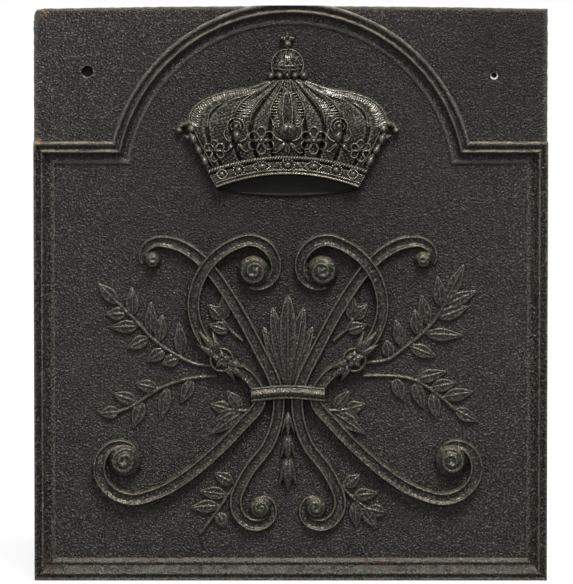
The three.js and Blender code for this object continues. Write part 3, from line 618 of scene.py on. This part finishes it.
# A leaf: plump with a sunken vein, or, as on the sprays, a thin rim and midrib round hollow halves
def leaf(foot, tip, width, height, vein=0.8, cupped=False):
    bpy.ops.mesh.primitive_uv_sphere_add(segments=36 if cupped else 20, ring_count=16, radius=1,
                                         rotation=(0, pi / 2, 0))
    bpy.ops.object.transform_apply(location=False, rotation=True, scale=False)
    blade = bpy.context.object
    run = Vector(tip) - Vector(foot)
    length = run.length
    run.normalize()
    across = Vector((-run.y, run.x))
    for vertex in blade.data.vertices:
        share = (vertex.co.x + 1) / 2
        swelling = 1.0 + 0.35 * sin(pi * min(1.0, share * 1.25)) - 0.45 * share
        out = vertex.co.y * width / 2 * swelling
        rise = vertex.co.z * height if vertex.co.z > 0 else vertex.co.z
        if vertex.co.z > 0 and cupped:
            full = sqrt(max(0.0025, 1 - vertex.co.x ** 2))
            t = min(1.0, abs(vertex.co.y) / full)
            hollow = 0.66 + 0.34 * t ** 2.5 + 0.26 * exp(-(t / 0.15) ** 2)
            rise = height * full ** 0.5 * sqrt(max(0.0, 1 - t ** 9)) * hollow
        elif vertex.co.z > 0:
            rise -= vein * exp(-(out / (0.1 * width)) ** 2) * (1 - share * 0.6)
        place = Vector(foot) + run * (share * length) + across * out
        vertex.co = (place.x, place.y, rise)
    return blade


# A half-round rib along the points
def rib(points, width, height, smooth=True, radii=None, sides=9):
    route = smooth_route(points, 1.5) if smooth else points
    turns = [pi * i / (sides - 1) for i in range(sides)]
    section = [(-width / 2, -1.2)] + [(-width / 2 * cos(t), height * sin(t)) for t in turns]
    section += [(width / 2, -1.2)]
    if radii:
        radii = [radii(i / (len(route) - 1)) for i in range(len(route))]
    return run_along(route, section, radii)


def ring(x, y, radius, steps):
    return [polar(x, y, radius, 2 * pi * i / steps) for i in range(steps + 1)]


# Raises all but the underside
def lifted(piece, rise):
    for vertex in piece.data.vertices:
        if vertex.co.z > -0.5:
            vertex.co.z += rise
    return piece


collar_line = in_ornament([(-40, 0), (0, 3), (40, 0)])
collar_parts = [rib(collar_line, 14.0, 15.0)]
for edge in (-6.2, 6.2):
    collar_parts.append(lifted(rib([(x, y + edge) for x, y in collar_line], 2.6, 1.8), 10.5))
for i in range(-6, 7):
    x = AXIS + 6.0 * i
    collar_parts.append(dome(x, COLLAR + 3 * (1 - (i / 6.6) ** 2), 2.3, 16.3, segments=14))
collar_piece = melt(collar_parts, 0.6, 1)
stand(collar_piece, "scroll_collar", relief_cast_with_painted_light)

palmette_parts = []
for x, y, width, height in ((0, 108, 18, 11.5), (17, 95, 14, 9.5), (-17, 95, 14, 9.5), (27, 74, 11, 7.6),
                            (-27, 74, 11, 7.6)):
    foot = (AXIS + 0.1 * x, COLLAR + 8)
    palmette_parts.append(leaf((AXIS + x, COLLAR + y), foot, width, height, cupped=True))
palmette_piece = melt(palmette_parts, 0.7, 1)
roughen(palmette_piece, 0.3, 3.0)
stand(palmette_piece, "palmette", relief_cast_with_painted_light)

husk_parts = []
for top, length, width in ((-18, 34, 8), (-42, 34, 14), (-66, 42, 18)):
    for lean in (-0.34, 0, 0.34):
        tip = (AXIS + lean * length * 0.7, COLLAR + top - length * (1 - abs(lean) * 0.5))
        husk_parts.append(leaf((AXIS, COLLAR + top), tip, width * (0.8 - abs(lean)),
                               8.5 - 5 * abs(lean), 1.0))
husk_piece = melt(husk_parts, 0.7)
stand(husk_piece, "husk_drop", relief_cast_with_painted_light)

ROSETTE = (72, 38)
STAR_POINTS = 5
for side, word in SIDES:
    cx, cy = in_ornament([ROSETTE], side)[0]
    parts = [dome(cx, cy, 13.5, 13.0)]
    parts.append(lifted(rib(ring(cx, cy, 12.2, 40), 2.6, 2.2, smooth=False), 10.5))
    for i in range(STAR_POINTS):
        tip = polar(cx, cy, 10.2, pi / 2 + 2 * pi * i / STAR_POINTS)
        parts.append(lifted(leaf((cx, cy), tip, 6.4, 3.6, 0.9), 12.2))
    parts.append(dome(cx, cy, 2.4, 17.0, segments=14))
    for x, y in ((99, 72), (42, 14)):
        tx, ty = in_ornament([(x, y)], side)[0]
        run = Vector((tx - cx, ty - cy))
        for lean, share in ((-0.5, 0.72), (0.5, 0.72), (0, 1.0)):
            spread = Vector((-run.y, run.x)) * lean * 0.5
            tip = Vector((cx, cy)) + run * share + spread
            parts.append(leaf((cx, cy), tip, 11, 14.0, 1.2))
    rosette = melt(parts, 0.7, 1)
    stand(rosette, f"{word}_rosette", relief_cast_with_painted_light)

# --------------------------------------
# The leafy sprays: low stems with paired pointed leaves, each hollow to both sides of its midrib.
# Their edges are soft, as the pattern pressed them.

# Each spray is its stem, then its leaf tips with the share of the stem at which each leaf starts
SPRAYS = {
    "upper_left_spray": (
        [(-82, 31), (-104, 33), (-132, 47), (-150, 60), (-168, 79), (-190, 101)],
        [(-210, 121, 0.96), (-173, 117, 0.8), (-202, 87, 0.86), (-197, 73, 0.72), (-152, 101, 0.6),
         (-179, 50, 0.6), (-140, 87, 0.5), (-157, 36, 0.44), (-141, 33, 0.3), (-122, 79, 0.28)]),
    "lower_left_spray": (
        [(-80, 20), (-104, 18), (-126, 13), (-147, 4), (-169, -11), (-189, -20)],
        [(-209, -21, 0.96), (-194, 1, 0.78), (-172, -37, 0.72), (-170, 12, 0.56), (-142, -29, 0.46),
         (-120, -10, 0.22)]),
    "upper_right_spray": (
        [(76, 34), (106, 38), (126, 52), (142, 65), (158, 82), (172, 107)],
        [(189, 142, 0.96), (160, 129, 0.88), (203, 113, 0.9), (194, 96, 0.78), (142, 109, 0.68),
         (135, 93, 0.56), (188, 64, 0.6), (114, 82, 0.4), (159, 41, 0.44), (104, 60, 0.26)]),
    "lower_right_spray": (
        [(78, 20), (108, 20), (130, 17), (147, 9), (167, -6), (180, -18)],
        [(205, -30, 0.96), (200, 3, 0.8), (182, 13, 0.66), (170, 25, 0.5), (160, -28, 0.7),
         (145, -16, 0.5), (123, -7, 0.3)]),
    "left_foot_spray": (
        [(-56, -92), (-68, -110), (-82, -130), (-99, -153)],
        [(-100, -106, 0.3), (-110, -124, 0.5), (-70, -146, 0.6), (-84, -86, 0.12)]),
    "right_foot_spray": (
        [(50, -92), (64, -110), (84, -126)],
        [(106, -130, 0.96), (96, -108, 0.5), (72, -146, 0.62), (76, -88, 0.25), (94, -147, 0.85)]),
}
# The sprays at the waist and in the heart of the scrolls are alike on both sides of the axis
for place, stem, leaves in (
    ("waist", [(-31, -14), (-47, -18), (-63, -17)],
     [(-85, -11, 0.96), (-79, -30, 0.8), (-67, 4, 0.55), (-85, -44, 0.5)]),
    ("heart", [(-49, 58), (-63, 70), (-71, 82)],
     [(-87, 98, 0.96), (-71, 107, 0.85), (-87, 76, 0.5)]),
):
    for side, word in ((1, "left"), (-1, "right")):
        SPRAYS[f"{word}_{place}_spray"] = (
            [(AXIS + side * x, y) for x, y in stem],
            [(AXIS + side * x, y, share) for x, y, share in leaves],
        )

for name, (stem, leaves) in SPRAYS.items():
    stem = [(x, COLLAR + y) for x, y in stem]
    route = smooth_route(stem)
    parts = [rib(stem, 4.6, 3.6)]
    for x, y, share in leaves:
        foot = Vector(along(route, share))
        tip = Vector((x, COLLAR + y))
        parts.append(rib([foot, foot.lerp(tip, 0.5)], 2.6, 2.6, smooth=False))
        parts.append(leaf(foot.lerp(tip, 0.1), tip, 13.4, 5.0, cupped=True))
    spray = melt(parts, 0.7, 1)
    roughen(spray, 0.35, 3.0)
    stand(spray, name, relief_cast_with_painted_light)

# --------------------------------------
# The crown: a cap of ribbed cloth under five arches of goldsmith's work, on a circlet of gems
# between a rope edge and a double rim, carved in one low relief; its dark lining shows below.

CROWN_AXIS = -3.5
CROWN_FOOT = 419.0
CIRCLET_HALF = 87.5
LINING_HALF = 77.0
# Curved edges, as their rise at the middle and at the ends
CIRCLET_TOP = (43.8, 28.5)
CIRCLET_RIM = (24.0, 9.5)
LINING_FOOT = (0.0, 7.5)
CAP_TOP = 127
CAP_OUTLINE = [(20, 127), (44, 119), (76, 113), (96, 104), (107, 92), (109.5, 78), (105, 60), (96, 43),
               (88, 29.5)]
FOLDS = [0.175, 0.365, 0.56, 0.8]


# Soot and painted shade: dark patches over the circlet and over each flower and fleuron darken the crown's
# lower half
CROWN_SOOT_AND_SHADE = [
    *((x, z, radius, 10, 0.9) for x, z, radius in (
        (-66, 440, 22), (-30, 450, 22), (4, 453, 20), (34, 448, 22), (62, 438, 22))),
    *((x, z, radius, 12, 0.85) for x, z, radius in (
        (-82, 470, 22), (-56, 474, 24), (-28, 474, 22), (0, 480, 22), (22, 474, 22), (50, 474, 24),
        (76, 470, 22))),
]
# The crown: the smoothest iron, polished bright on what stands out, partly as a painted highlight, with
# soot and painted shade over its circlet and flowers
crown_cast = cast_iron("polished_cast_iron_crown_with_painted_light", iron="#3b3935", worn_and_highlight_tone="#bfb8a8", grain=0.16,
                       roughness=0.23, rubbed_and_highlight=0.75, dust_and_top_light=0.75, soot_and_shade=CROWN_SOOT_AND_SHADE)


def in_crown(points, side=1):
    return [(CROWN_AXIS + side * x, CROWN_FOOT + y) for x, y in points]


def arc_rise(x, half, heights):
    middle, end = heights
    return end + (middle - end) * (1 - (x / half) ** 2)


def arc_line(half, heights, count=60):
    return [(x, arc_rise(x, half, heights)) for x in (half * (2 * i / count - 1) for i in range(count + 1))]


# A bump of height 1 at the middle of a line, for grooves and ridges in the bent sheets
def swell(away, width):
    return exp(-(away / width) ** 2)


# A closed cushion whose face is bent over two directions, across from -1 to 1 and up from 0 to 1
def bent_sheet(across, upward, shape):
    bpy.ops.mesh.primitive_grid_add(x_subdivisions=across, y_subdivisions=upward, size=2)
    sheet = bpy.context.object
    for vertex in sheet.data.vertices:
        vertex.co = shape(vertex.co.x, (vertex.co.y + 1) / 2)
    edit(sheet, bpy.ops.mesh.region_to_loop, extrude(-1))
    for vertex in sheet.data.vertices:
        if vertex.select:
            vertex.co.z = -1.5
    lid(sheet)
    return sheet


def surface_of(piece):
    mesh = piece.data
    return BVHTree.FromPolygons([v.co for v in mesh.vertices], [tuple(f.vertices) for f in mesh.polygons])


# Lays a thin ornament over whatever lies under it
def drape(piece, surface, sink=1.0):
    for vertex in piece.data.vertices:
        hit = surface.ray_cast(Vector((vertex.co.x, vertex.co.y, 60)), Vector((0, 0, -1)))[0]
        if hit and vertex.co.z > -0.5:
            vertex.co.z += max(0.0, hit.z - sink)
    return piece


def lining_shape(u, v):
    x = LINING_HALF * u
    low, top = arc_rise(x, LINING_HALF, LINING_FOOT), arc_rise(x, LINING_HALF, CIRCLET_RIM) - 0.2
    lip = 1.3 * swell(v - 0.09, 0.05)
    return CROWN_AXIS + x, CROWN_FOOT + low + (top - low) * v, 1.2 + 5.0 * v ** 1.4 + lip


lining = bent_sheet(120, 24, lining_shape)
# The lining: a plain hollow under the circlet, dull and near black from soot and painted shade
lining_iron = cast_iron("sooty_painted_shade_cast_iron_lining", iron="#181715", worn_and_highlight_tone="#2d2a27", roughness=0.6, grain=0.3,
                        dust_and_top_light=0.15, rubbed_and_highlight=0.2)
stand(lining, "crown_lining", lining_iron)

# The cap: an outline bent over shares of its width and height, with pleats, a woven stipple, lobes
# between the arches and deep folds
cap_side = smooth_route(CAP_OUTLINE, 3.0)


def side_at(share):
    place = share * (len(cap_side) - 1)
    index = min(len(cap_side) - 2, int(place))
    part = place - index
    (x0, y0), (x1, y1) = cap_side[index], cap_side[index + 1]
    return x0 + (x1 - x0) * part, y0 + (y1 - y0) * part


def cap_shape(u, v):
    down = 1 - v
    side_x, side_y = side_at(down)
    foot = arc_rise(CIRCLET_HALF * u, CIRCLET_HALF, CIRCLET_TOP)
    y = (CAP_TOP + (foot - CAP_TOP) * down) * (1 - abs(u) ** 1.7) + side_y * abs(u) ** 1.7
    edge = sqrt(max(0.0, 1 - abs(u) ** 6))
    crowned = 6.0 + 4.6 * sin(pi * min(1.0, 0.15 + down * 0.85) ** 0.8)
    pleats = 0.8 * cos(2 * pi * u * 11) * max(0.0, 1 - 2.4 * down)
    cloth = 0.34 * sin(2 * pi * (down * 27 + 0.3 * sin(u * 23))) * min(1.0, 3 * down)
    cloth *= sin(97 * u + 5 * sin(19 * down))
    lobes = 1.7 * abs(sin(pi * (abs(u) / 0.19 + 0.08))) * min(1.0, 3 * down) * (abs(u) < 0.56)
    folds = 4.4 * sum(swell(abs(u) - fold, 0.019) for fold in FOLDS) * min(1.0, 0.3 + 3 * down)
    z = 1.5 + (crowned + pleats + cloth + lobes - folds) * edge
    return CROWN_AXIS + side_x * u, CROWN_FOOT + y, max(0.8, min(z, 14.0))


cap = bent_sheet(300, 130, cap_shape)
cap_surface = surface_of(cap)
stand(cap, "crown_cap", crown_cast)


def on_cap(parts, node):
    for part in parts:
        drape(part, cap_surface)
    stand(melt(parts, 0.6, 1), node, crown_cast)


# An arch: two raised edges, and between them cross bars or the slanted scales of the widest pair
def crown_arch(node, left_line, right_line, bars_from, pitch, lean=0.0, reach=1.0):
    parts = [rib(left_line, 2.0, 3.8), rib(right_line, 2.0, 3.8)]
    left, right = smooth_route(left_line, 0.8), smooth_route(right_line, 0.8)
    middle = [tuple((Vector(along(left, i / 40)) + Vector(along(right, i / 40))) / 2) for i in range(41)]
    length = sum(dist(a, b) for a, b in zip(middle, middle[1:]))
    bars = int(length * (1 - bars_from) / pitch)
    for i in range(bars + 1):
        share = bars_from + (1 - bars_from) * i / bars
        a, b = Vector(along(left, share)), Vector(along(right, share))
        c = Vector(along(middle, min(1.0, share + lean)))
        for edge in (a, b):
            parts.append(rib([edge, edge.lerp(c, reach)], 0.52 * pitch, 2.7, smooth=False, sides=6))
    width = max(dist(along(left, 0.5), along(right, 0.5)), 5)
    parts.append(rib(middle, width, 1.5, radii=lambda share: 0.5 + 0.5 * min(1, share * 2)))

    def between(offset, first, last):
        return [tuple(Vector(along(left, i / 30)).lerp(Vector(along(right, i / 30)), offset))
                for i in range(first, last)]

    for offset in (0.25, 0.5, 0.75):
        parts.append(rib(between(offset, 0, 11), 1.1, 2.9, sides=6))
    if reach < 1:
        for offset in (0.36, 0.64):
            parts.append(rib(between(offset, 9, 31), 2.4, 3.2))
    on_cap(parts, node)


crown_arch("crown_centre_arch",
           in_crown([(-4.5, 127), (-8, 116), (-15, 104), (-18.6, 92), (-15, 76)]),
           in_crown([(4.5, 127), (8, 116), (15, 104), (18.6, 92), (15, 76)]), 0.3, 2.8, reach=0.42)
for side, word in SIDES:
    crown_arch(f"crown_{word}_inner_arch",
               in_crown([(9, 126), (20, 114), (32, 102), (38.5, 91), (40, 79)], side),
               in_crown([(15, 125), (33, 115), (48, 104), (56.5, 92), (58, 80)], side), 0.3, 2.7)
    crown_arch(f"crown_{word}_outer_arch",
               in_crown([(18, 123), (35, 113.5), (55, 107), (73, 100.5), (84, 91), (87.5, 76)], side),
               in_crown([(20, 126), (44, 117.6), (75.5, 111.5), (95, 102.5), (105.5, 91), (107.5, 76)],
                        side),
               0.16, 2.2, lean=0.06)


# An oval petal: a raised rim round a sunken middle
def petal(cx, cy, turn, reach, width, height):
    middle, half = 0.6 * reach, 0.38 * reach
    rim = []
    for i in range(17):
        t = 2 * pi * i / 16
        out, aside = middle + half * cos(t), width / 2 * sin(t)
        rim.append((cx + out * cos(turn) - aside * sin(turn), cy + out * sin(turn)
                    + aside * cos(turn)))
    return rib(rim, 0.24 * width + 0.5, height, smooth=False, sides=7)


def crown_flower(node, x, y, radius, rise):
    cx, cy = in_crown([(x, y)])[0]
    parts = [dome(cx, cy, 0.22 * radius, rise + 1.4, segments=12)]
    parts.append(dome(cx, cy, 0.72 * radius, 1.8, segments=18))
    parts += [petal(cx, cy, pi * (i + 0.5) / 3, radius, 0.66 * radius, rise) for i in range(6)]
    on_cap(parts, node)


# The middle fleuron has a boss over three spreading leaves; the other two have a hooded curl above
def crown_fleuron(node, x, y, size, rise, hooded):
    cx, cy = in_crown([(x, y)])[0]
    boss_y = cy + (0.25 if hooded else 0.45) * size
    parts = [
        dome(cx, boss_y, (0.5 if hooded else 0.62) * size, rise + 2.4, segments=28),
        leaf((cx, cy - 0.15 * size), (cx, cy - 1.05 * size), 0.56 * size, rise, 1.4),
    ]
    for hand in (-1, 1):
        tip = (cx + hand * 0.84 * size, cy - 0.98 * size)
        parts.append(leaf((cx, cy - 0.1 * size), tip, 0.42 * size, rise, 1.2))
        parts.append(rib([(cx + hand * a * size, cy + b * size) for a, b in (
            (0.16, -0.3), (0.46, -0.6), (0.8, -0.86), (0.98, -0.78))], 1.9, rise + 0.6))
        parts.append(rib([(cx + hand * a * size, cy + b * size) for a, b in (
            (0.3, -0.1), (0.72, 0.1), (0.92, 0.5), (0.8, 0.86))], 0.18 * size, rise - 0.2,
            radii=lambda share: 1 - 0.3 * share))
    if hooded:
        for radius, height in ((0.66, rise + 1.0), (0.4, rise - 0.6)):
            hood = [polar(cx, cy + 1.08 * size, radius * size, radians(-35 + 250 * i / 24))
                    for i in range(25)]
            parts.append(rib(hood, 0.17 * size, height, smooth=False))
        parts.append(dome(cx, cy + 1.1 * size, 0.22 * size, rise + 0.6, segments=14))
    on_cap(parts, node)


for side, word in SIDES:
    crown_flower(f"crown_{word}_inner_flower", side * 28.5, 61, 15.0, 4.6)
    crown_flower(f"crown_{word}_outer_flower", side * 79.5, 50, 12.0, 4.2)
    crown_fleuron(f"crown_{word}_fleuron", side * 56, 61, 14.0, 4.8, True)
crown_fleuron("crown_centre_fleuron", 0, 62, 17.0, 5.2, False)

# The fleurons at the sides are seen edge-on: a jointed stalk under a drooping head
for side, word in SIDES:
    stalk = in_crown([(86, 32), (93, 45), (100, 58), (105, 69)], side)
    parts = [rib(stalk, 8.0, 10.0)]
    spine = smooth_route(stalk, 2.0)
    for first, last in ((0.0, 0.34), (0.34, 0.66), (0.66, 1.0)):
        piece_of = spine[round(first * (len(spine) - 1)):round(last * (len(spine) - 1)) + 1]
        parts.append(rib(piece_of, 11.0, 12.6, radii=lambda share: 0.62 + 0.38 * sin(pi * share)))
    parts.append(rib([(x - side * 5.0, y + 1.5) for x, y in stalk], 1.8, 12.0))
    head = in_crown([(99, 76), (106, 80), (114, 78.5), (121, 73)], side)
    parts.append(rib(head, 11.0, 10.5, radii=lambda share: 1.0 - 0.55 * share))
    parts.append(dome(*in_crown([(104, 74)], side)[0], 6.0, 13.0, segments=18))
    parts.append(dome(*in_crown([(118, 72.5)], side)[0], 4.0, 9.5, segments=14))
    parts.append(leaf(*in_crown([(102, 63), (113, 67)], side), 7.0, 9.0, 0.8))
    stand(melt(parts, 0.7, 1), f"crown_{word}_side_fleuron", crown_cast)

# The circlet: a hatched band between a rope, laid strand by strand, and a double rim
BAND_FACE = 10.4


def band_shape(u, v):
    x_low, x_top = LINING_HALF * u, CIRCLET_HALF * u
    low, top = arc_rise(x_low, LINING_HALF, CIRCLET_RIM), arc_rise(x_top, CIRCLET_HALF, CIRCLET_TOP)
    hatch = 0.3 * sin(2 * pi * v * 9) * min(1.0, 8 * min(v, 1 - v))
    z = BAND_FACE + hatch - 2.4 * swell(v - 0.77, 0.055) - 1.6 * swell(v - 0.3, 0.035)
    return CROWN_AXIS + x_low + (x_top - x_low) * v, CROWN_FOOT + low + (top - low) * v, z


def round_band(half, heights, inset, width, height, rise):
    line = arc_line(half, (heights[0] + inset, heights[1] + inset))
    return lifted(rib(in_crown(line), width, height, smooth=False), rise)


circlet_parts = [bent_sheet(230, 54, band_shape)]
circlet_parts.append(round_band(CIRCLET_HALF - 1.5, CIRCLET_TOP, -1.4, 4.2, 2.0, BAND_FACE))
rope_line = arc_line(CIRCLET_HALF - 1.5, (CIRCLET_TOP[0] - 1.4, CIRCLET_TOP[1] - 1.4))
strands = smooth_route(in_crown(rope_line), 3.0)
for (x0, y0), (x1, y1) in zip(strands, strands[1:]):
    slope = Vector((x1 - x0, y1 - y0)).normalized()
    middle = Vector(((x0 + x1) / 2, (y0 + y1) / 2))
    lean = slope * 1.5 + Vector((-slope.y, slope.x)) * 2.3
    strand = rib([middle - lean, middle, middle + lean], 1.9, 1.9, smooth=False,
                 sides=7, radii=lambda share: 1.2 - abs(2 * share - 1))
    circlet_parts.append(lifted(strand, BAND_FACE + 1.1))
circlet_parts.append(round_band(LINING_HALF + 0.4, CIRCLET_RIM, 1.6, 2.9, 2.4, BAND_FACE + 0.3))
circlet_parts.append(round_band(LINING_HALF + 1.0, CIRCLET_RIM, 5.4, 1.7, 1.6, BAND_FACE - 0.2))
stand(melt(circlet_parts, 0.6, 1), "crown_circlet", crown_cast)

# Seven gems, round and pointed by turns, each a boss in a ring of beads
GEM_RING = CIRCLET_HALF - 5.5
# Bosses: nearly black iron that touch has burnished to a sharp gleam; their rims are paler, partly as a
# painted highlight
glossy_cast = cast_iron("burnished_cast_iron_bosses_with_painted_highlight", iron="#22201d", worn_and_highlight_tone="#b8b1a2", roughness=0.17,
                        grain=0.1, dust_and_top_light=0.25, rubbed_and_highlight=1.0, soot_and_shade=())
for index in range(7):
    x = GEM_RING * sin(radians(20 * (index - 3)))
    middle = [(top + rim) / 2 + 0.6 for top, rim in zip(CIRCLET_TOP, CIRCLET_RIM)]
    cx, cy = in_crown([(x, arc_rise(x, CIRCLET_HALF, middle))])[0]
    round_one = index % 2 == 1
    long, short = (7.6, 5.9) if round_one else (9.6, 5.4)
    long *= cos(radians(18 * (index - 3)))
    parts = [lifted(dome(cx, cy, 0.6 * long, 3.6, short / long, segments=20), BAND_FACE - 0.2),
             lifted(dome(cx, cy, 1.1 * long, 0.9, short / long, segments=24), BAND_FACE - 0.4)]
    beads = 14 if round_one else 18
    for i in range(beads):
        turn = 2 * pi * i / beads
        out, aside = cos(turn), sin(turn)
        stretch = 1.0 if round_one else 1 / (abs(out) ** 1.4 + abs(aside) ** 1.4) ** (1 / 1.4)
        bead = dome(cx + long * stretch * out, cy + short * stretch * aside, 1.35, 2.7, segments=8)
        parts.append(lifted(bead, BAND_FACE))
    stand(melt(parts, 0.45, 1), f"crown_gem_{index + 1}", glossy_cast)

# The orb: a ball with a belt and a split band up its front, in a ring; beads stand round its foot
ORB_RISE = 143.0
ORB_RADIUS = 18.2
orb_x, orb_y = in_crown([(0, ORB_RISE)])[0]
orb = dome(orb_x, orb_y, ORB_RADIUS - 1.4, 13.6, segments=48)
orb_surface = surface_of(orb)
orb_parts = [orb, rib(ring(orb_x, orb_y, ORB_RADIUS - 0.8, 60), 2.0, 6.4, smooth=False)]
belt = in_crown([(-ORB_RADIUS + 2, ORB_RISE + 0.5), (0, ORB_RISE - 1.5), (ORB_RADIUS - 2, ORB_RISE + 0.5)])
meridian = in_crown([(-3.0, ORB_RISE), (-2.0, ORB_RISE + 8), (-1.0, ORB_RISE + 15)])
for line in (belt, [(x, y - 4.2) for x, y in belt], meridian, [(2 * orb_x - x, y) for x, y in meridian]):
    orb_parts.append(drape(rib(line, 1.5, 1.7), orb_surface))
stand(melt(orb_parts, 0.55, 1), "crown_orb", glossy_cast)

BEAD_RISE = 131.6
bead_parts = [dome(*in_crown([(x, BEAD_RISE)])[0], 5.0, 15.6, segments=20)
              for x in (-17.8, -8.6, 8.2, 17.6)]
bead_parts.append(dome(*in_crown([(0, BEAD_RISE + 0.4)])[0], 17.0, 10.0, 0.2))
bead_parts.append(dome(*in_crown([(-0.2, BEAD_RISE + 0.4)])[0], 3.0, 15.0, segments=14))
stand(melt(bead_parts, 0.55, 1), "crown_orb_collar", glossy_cast)

CROSS_RISE = 171.0
cross_x, cross_y = in_crown([(0, CROSS_RISE)])[0]
cross_parts = [dome(cross_x, cross_y - 5.4, 4.8, 9.6, 0.9, segments=20)]
for turn, reach, width in ((90, 7.6, 5.6), (12, 7.6, 5.6), (168, 7.6, 5.6), (270, 10.4, 6.4)):
    tip, knob = (polar(cross_x, cross_y, share * reach, radians(turn)) for share in (1, 0.8))
    cross_parts.append(leaf((cross_x, cross_y), tip, width, 7.0, 0.8))
    cross_parts.append(dome(*knob, 2.2, 7.6, segments=12))
stand(melt(cross_parts, 0.45, 1), "crown_cross", crown_cast)

# --------------------------------------
# The studio: a plain white floor and background, one soft light from above, a weak one from the
# front, and a long lens that looks very slightly down. A black disc in each hole is painted shade for
# the dark seen through the holes.

# Each lamp is its place in metres, its size and its power in watts
KEY_LIGHT = ((0.5, -1.75, 3.15), 1.1, 98)
FILL_LIGHT = ((-1.7, -1.9, 1.2), 0.9, 6)
SOFT_LIGHT = 0.45
FLOOR_GREY = 0.3
NEAR_GLOW, FAR_GLOW = 0.8, 0.98
FELT_DEPTH = 0.35


# 1 for what the camera sees, and for what gloss and glass show of the white side behind the object
def shows_white(owner, way):
    add = partial(add_node, owner)
    behind = add("MapRange", (add("SeparateXYZ", (way,), "Y"), 0.02, 0.08))
    mirrored = add("Math", (
        add("LightPath", out="Is Glossy Ray"), add("LightPath", out="Is Transmission Ray"),
    ), operation="MAXIMUM")
    mirrored = add("Math", (mirrored, behind), operation="MULTIPLY")
    return add("Math", (add("LightPath", out="Is Camera Ray"), mirrored), operation="MAXIMUM")


bpy.ops.mesh.primitive_plane_add(size=30, location=(0, 0, 0))
floor = bpy.context.object
floor.name = "studio_floor"
# White studio paint that the camera sees evenly lit, and that still takes the shadow of the plate
floor_paint = bpy.data.materials.new("white_studio_floor")
floor_paint.use_nodes = True
floor_paint.node_tree.nodes.clear()
add = partial(add_node, floor_paint)
floor_place = add("TexCoord", out="Object")
reach = add("VectorMath", (floor_place,), "Value", operation="LENGTH")
strength = add("MapRange", (reach, 0.35, 1.6, NEAR_GLOW, FAR_GLOW))
lit = add("BsdfDiffuse", {"Color": (FLOOR_GREY, FLOOR_GREY, FLOOR_GREY, 1)})
glow = add("Emission", {"Color": (1, 1, 1, 1), "Strength": strength})
shown = add("MixShader", (shows_white(floor_paint, floor_place), lit, add("AddShader", (lit, glow))))
add("OutputMaterial", (shown,))
floor.data.materials.append(floor_paint)

# Painted shade: a black disc without any gleam, set in each bore for the dark seen through the hole
painted_shade_felt = bpy.data.materials.new("black_painted_shade_disc")
painted_shade_felt.use_nodes = True
felt_inputs = painted_shade_felt.node_tree.nodes["Principled BSDF"].inputs
felt_inputs["Base Color"].default_value = srgb("#0a0a09")
felt_inputs["Roughness"].default_value = 1.0
for word, (x, z, bore) in (("left", LEFT_HOLE), ("right", RIGHT_HOLE)):
    bpy.ops.mesh.primitive_circle_add(
        vertices=40, radius=(bore - 0.1) * MM, fill_type="NGON", rotation=(pi / 2, 0, 0),
        location=(x * MM, PANEL_FACE + FELT_DEPTH * PLATE_THICKNESS * MM, z * MM),
    )
    shade = bpy.context.object
    shade.name = f"painted_shade_in_{word}_hole"
    shade.data.materials.append(painted_shade_felt)

world = bpy.data.worlds.new("studio")
bpy.context.scene.world = world
world.use_nodes = True
world.node_tree.nodes.clear()
direction = add_node(world, "TexCoord", out="Generated")
soft_light = add_node(world, "Background", {"Color": (1, 1, 1, 1), "Strength": SOFT_LIGHT})
white = add_node(world, "Background", {"Color": (1, 1, 1, 1), "Strength": 1.0})
sky = add_node(world, "MixShader", (shows_white(world, direction), soft_light, white))
add_node(world, "OutputWorld", (sky,))


def lamp(name, place, size, power):
    light = bpy.data.lights.new(name, "AREA")
    light.size = size
    light.energy = power
    holder = new_object(name, light)
    holder.location = place
    holder.rotation_euler = (Vector((0, 0, 0.33)) - Vector(place)).to_track_quat("-Z", "Y").to_euler()


lamp("key_light", *KEY_LIGHT)
lamp("fill_light", *FILL_LIGHT)

CAMERA_DISTANCE = 2.5
CAMERA_TILT = radians(1.6)
FRAME_HEIGHT_PX = 584
MM_PER_PX = 1.0906
SENSOR_MM = 36
aim = Vector((-0.0046, PANEL_FACE, 0.3156))
camera = new_object("camera", bpy.data.cameras.new("camera"))
camera.location = aim + CAMERA_DISTANCE * Vector((0, -cos(CAMERA_TILT), sin(CAMERA_TILT)))
camera.rotation_euler = (aim - camera.location).to_track_quat("-Z", "Y").to_euler()
camera.data.sensor_width = SENSOR_MM
camera.data.lens = SENSOR_MM * CAMERA_DISTANCE / (FRAME_HEIGHT_PX * MM_PER_PX * MM)
bpy.context.scene.camera = camera
bpy.context.scene.view_settings.view_transform = "Standard"
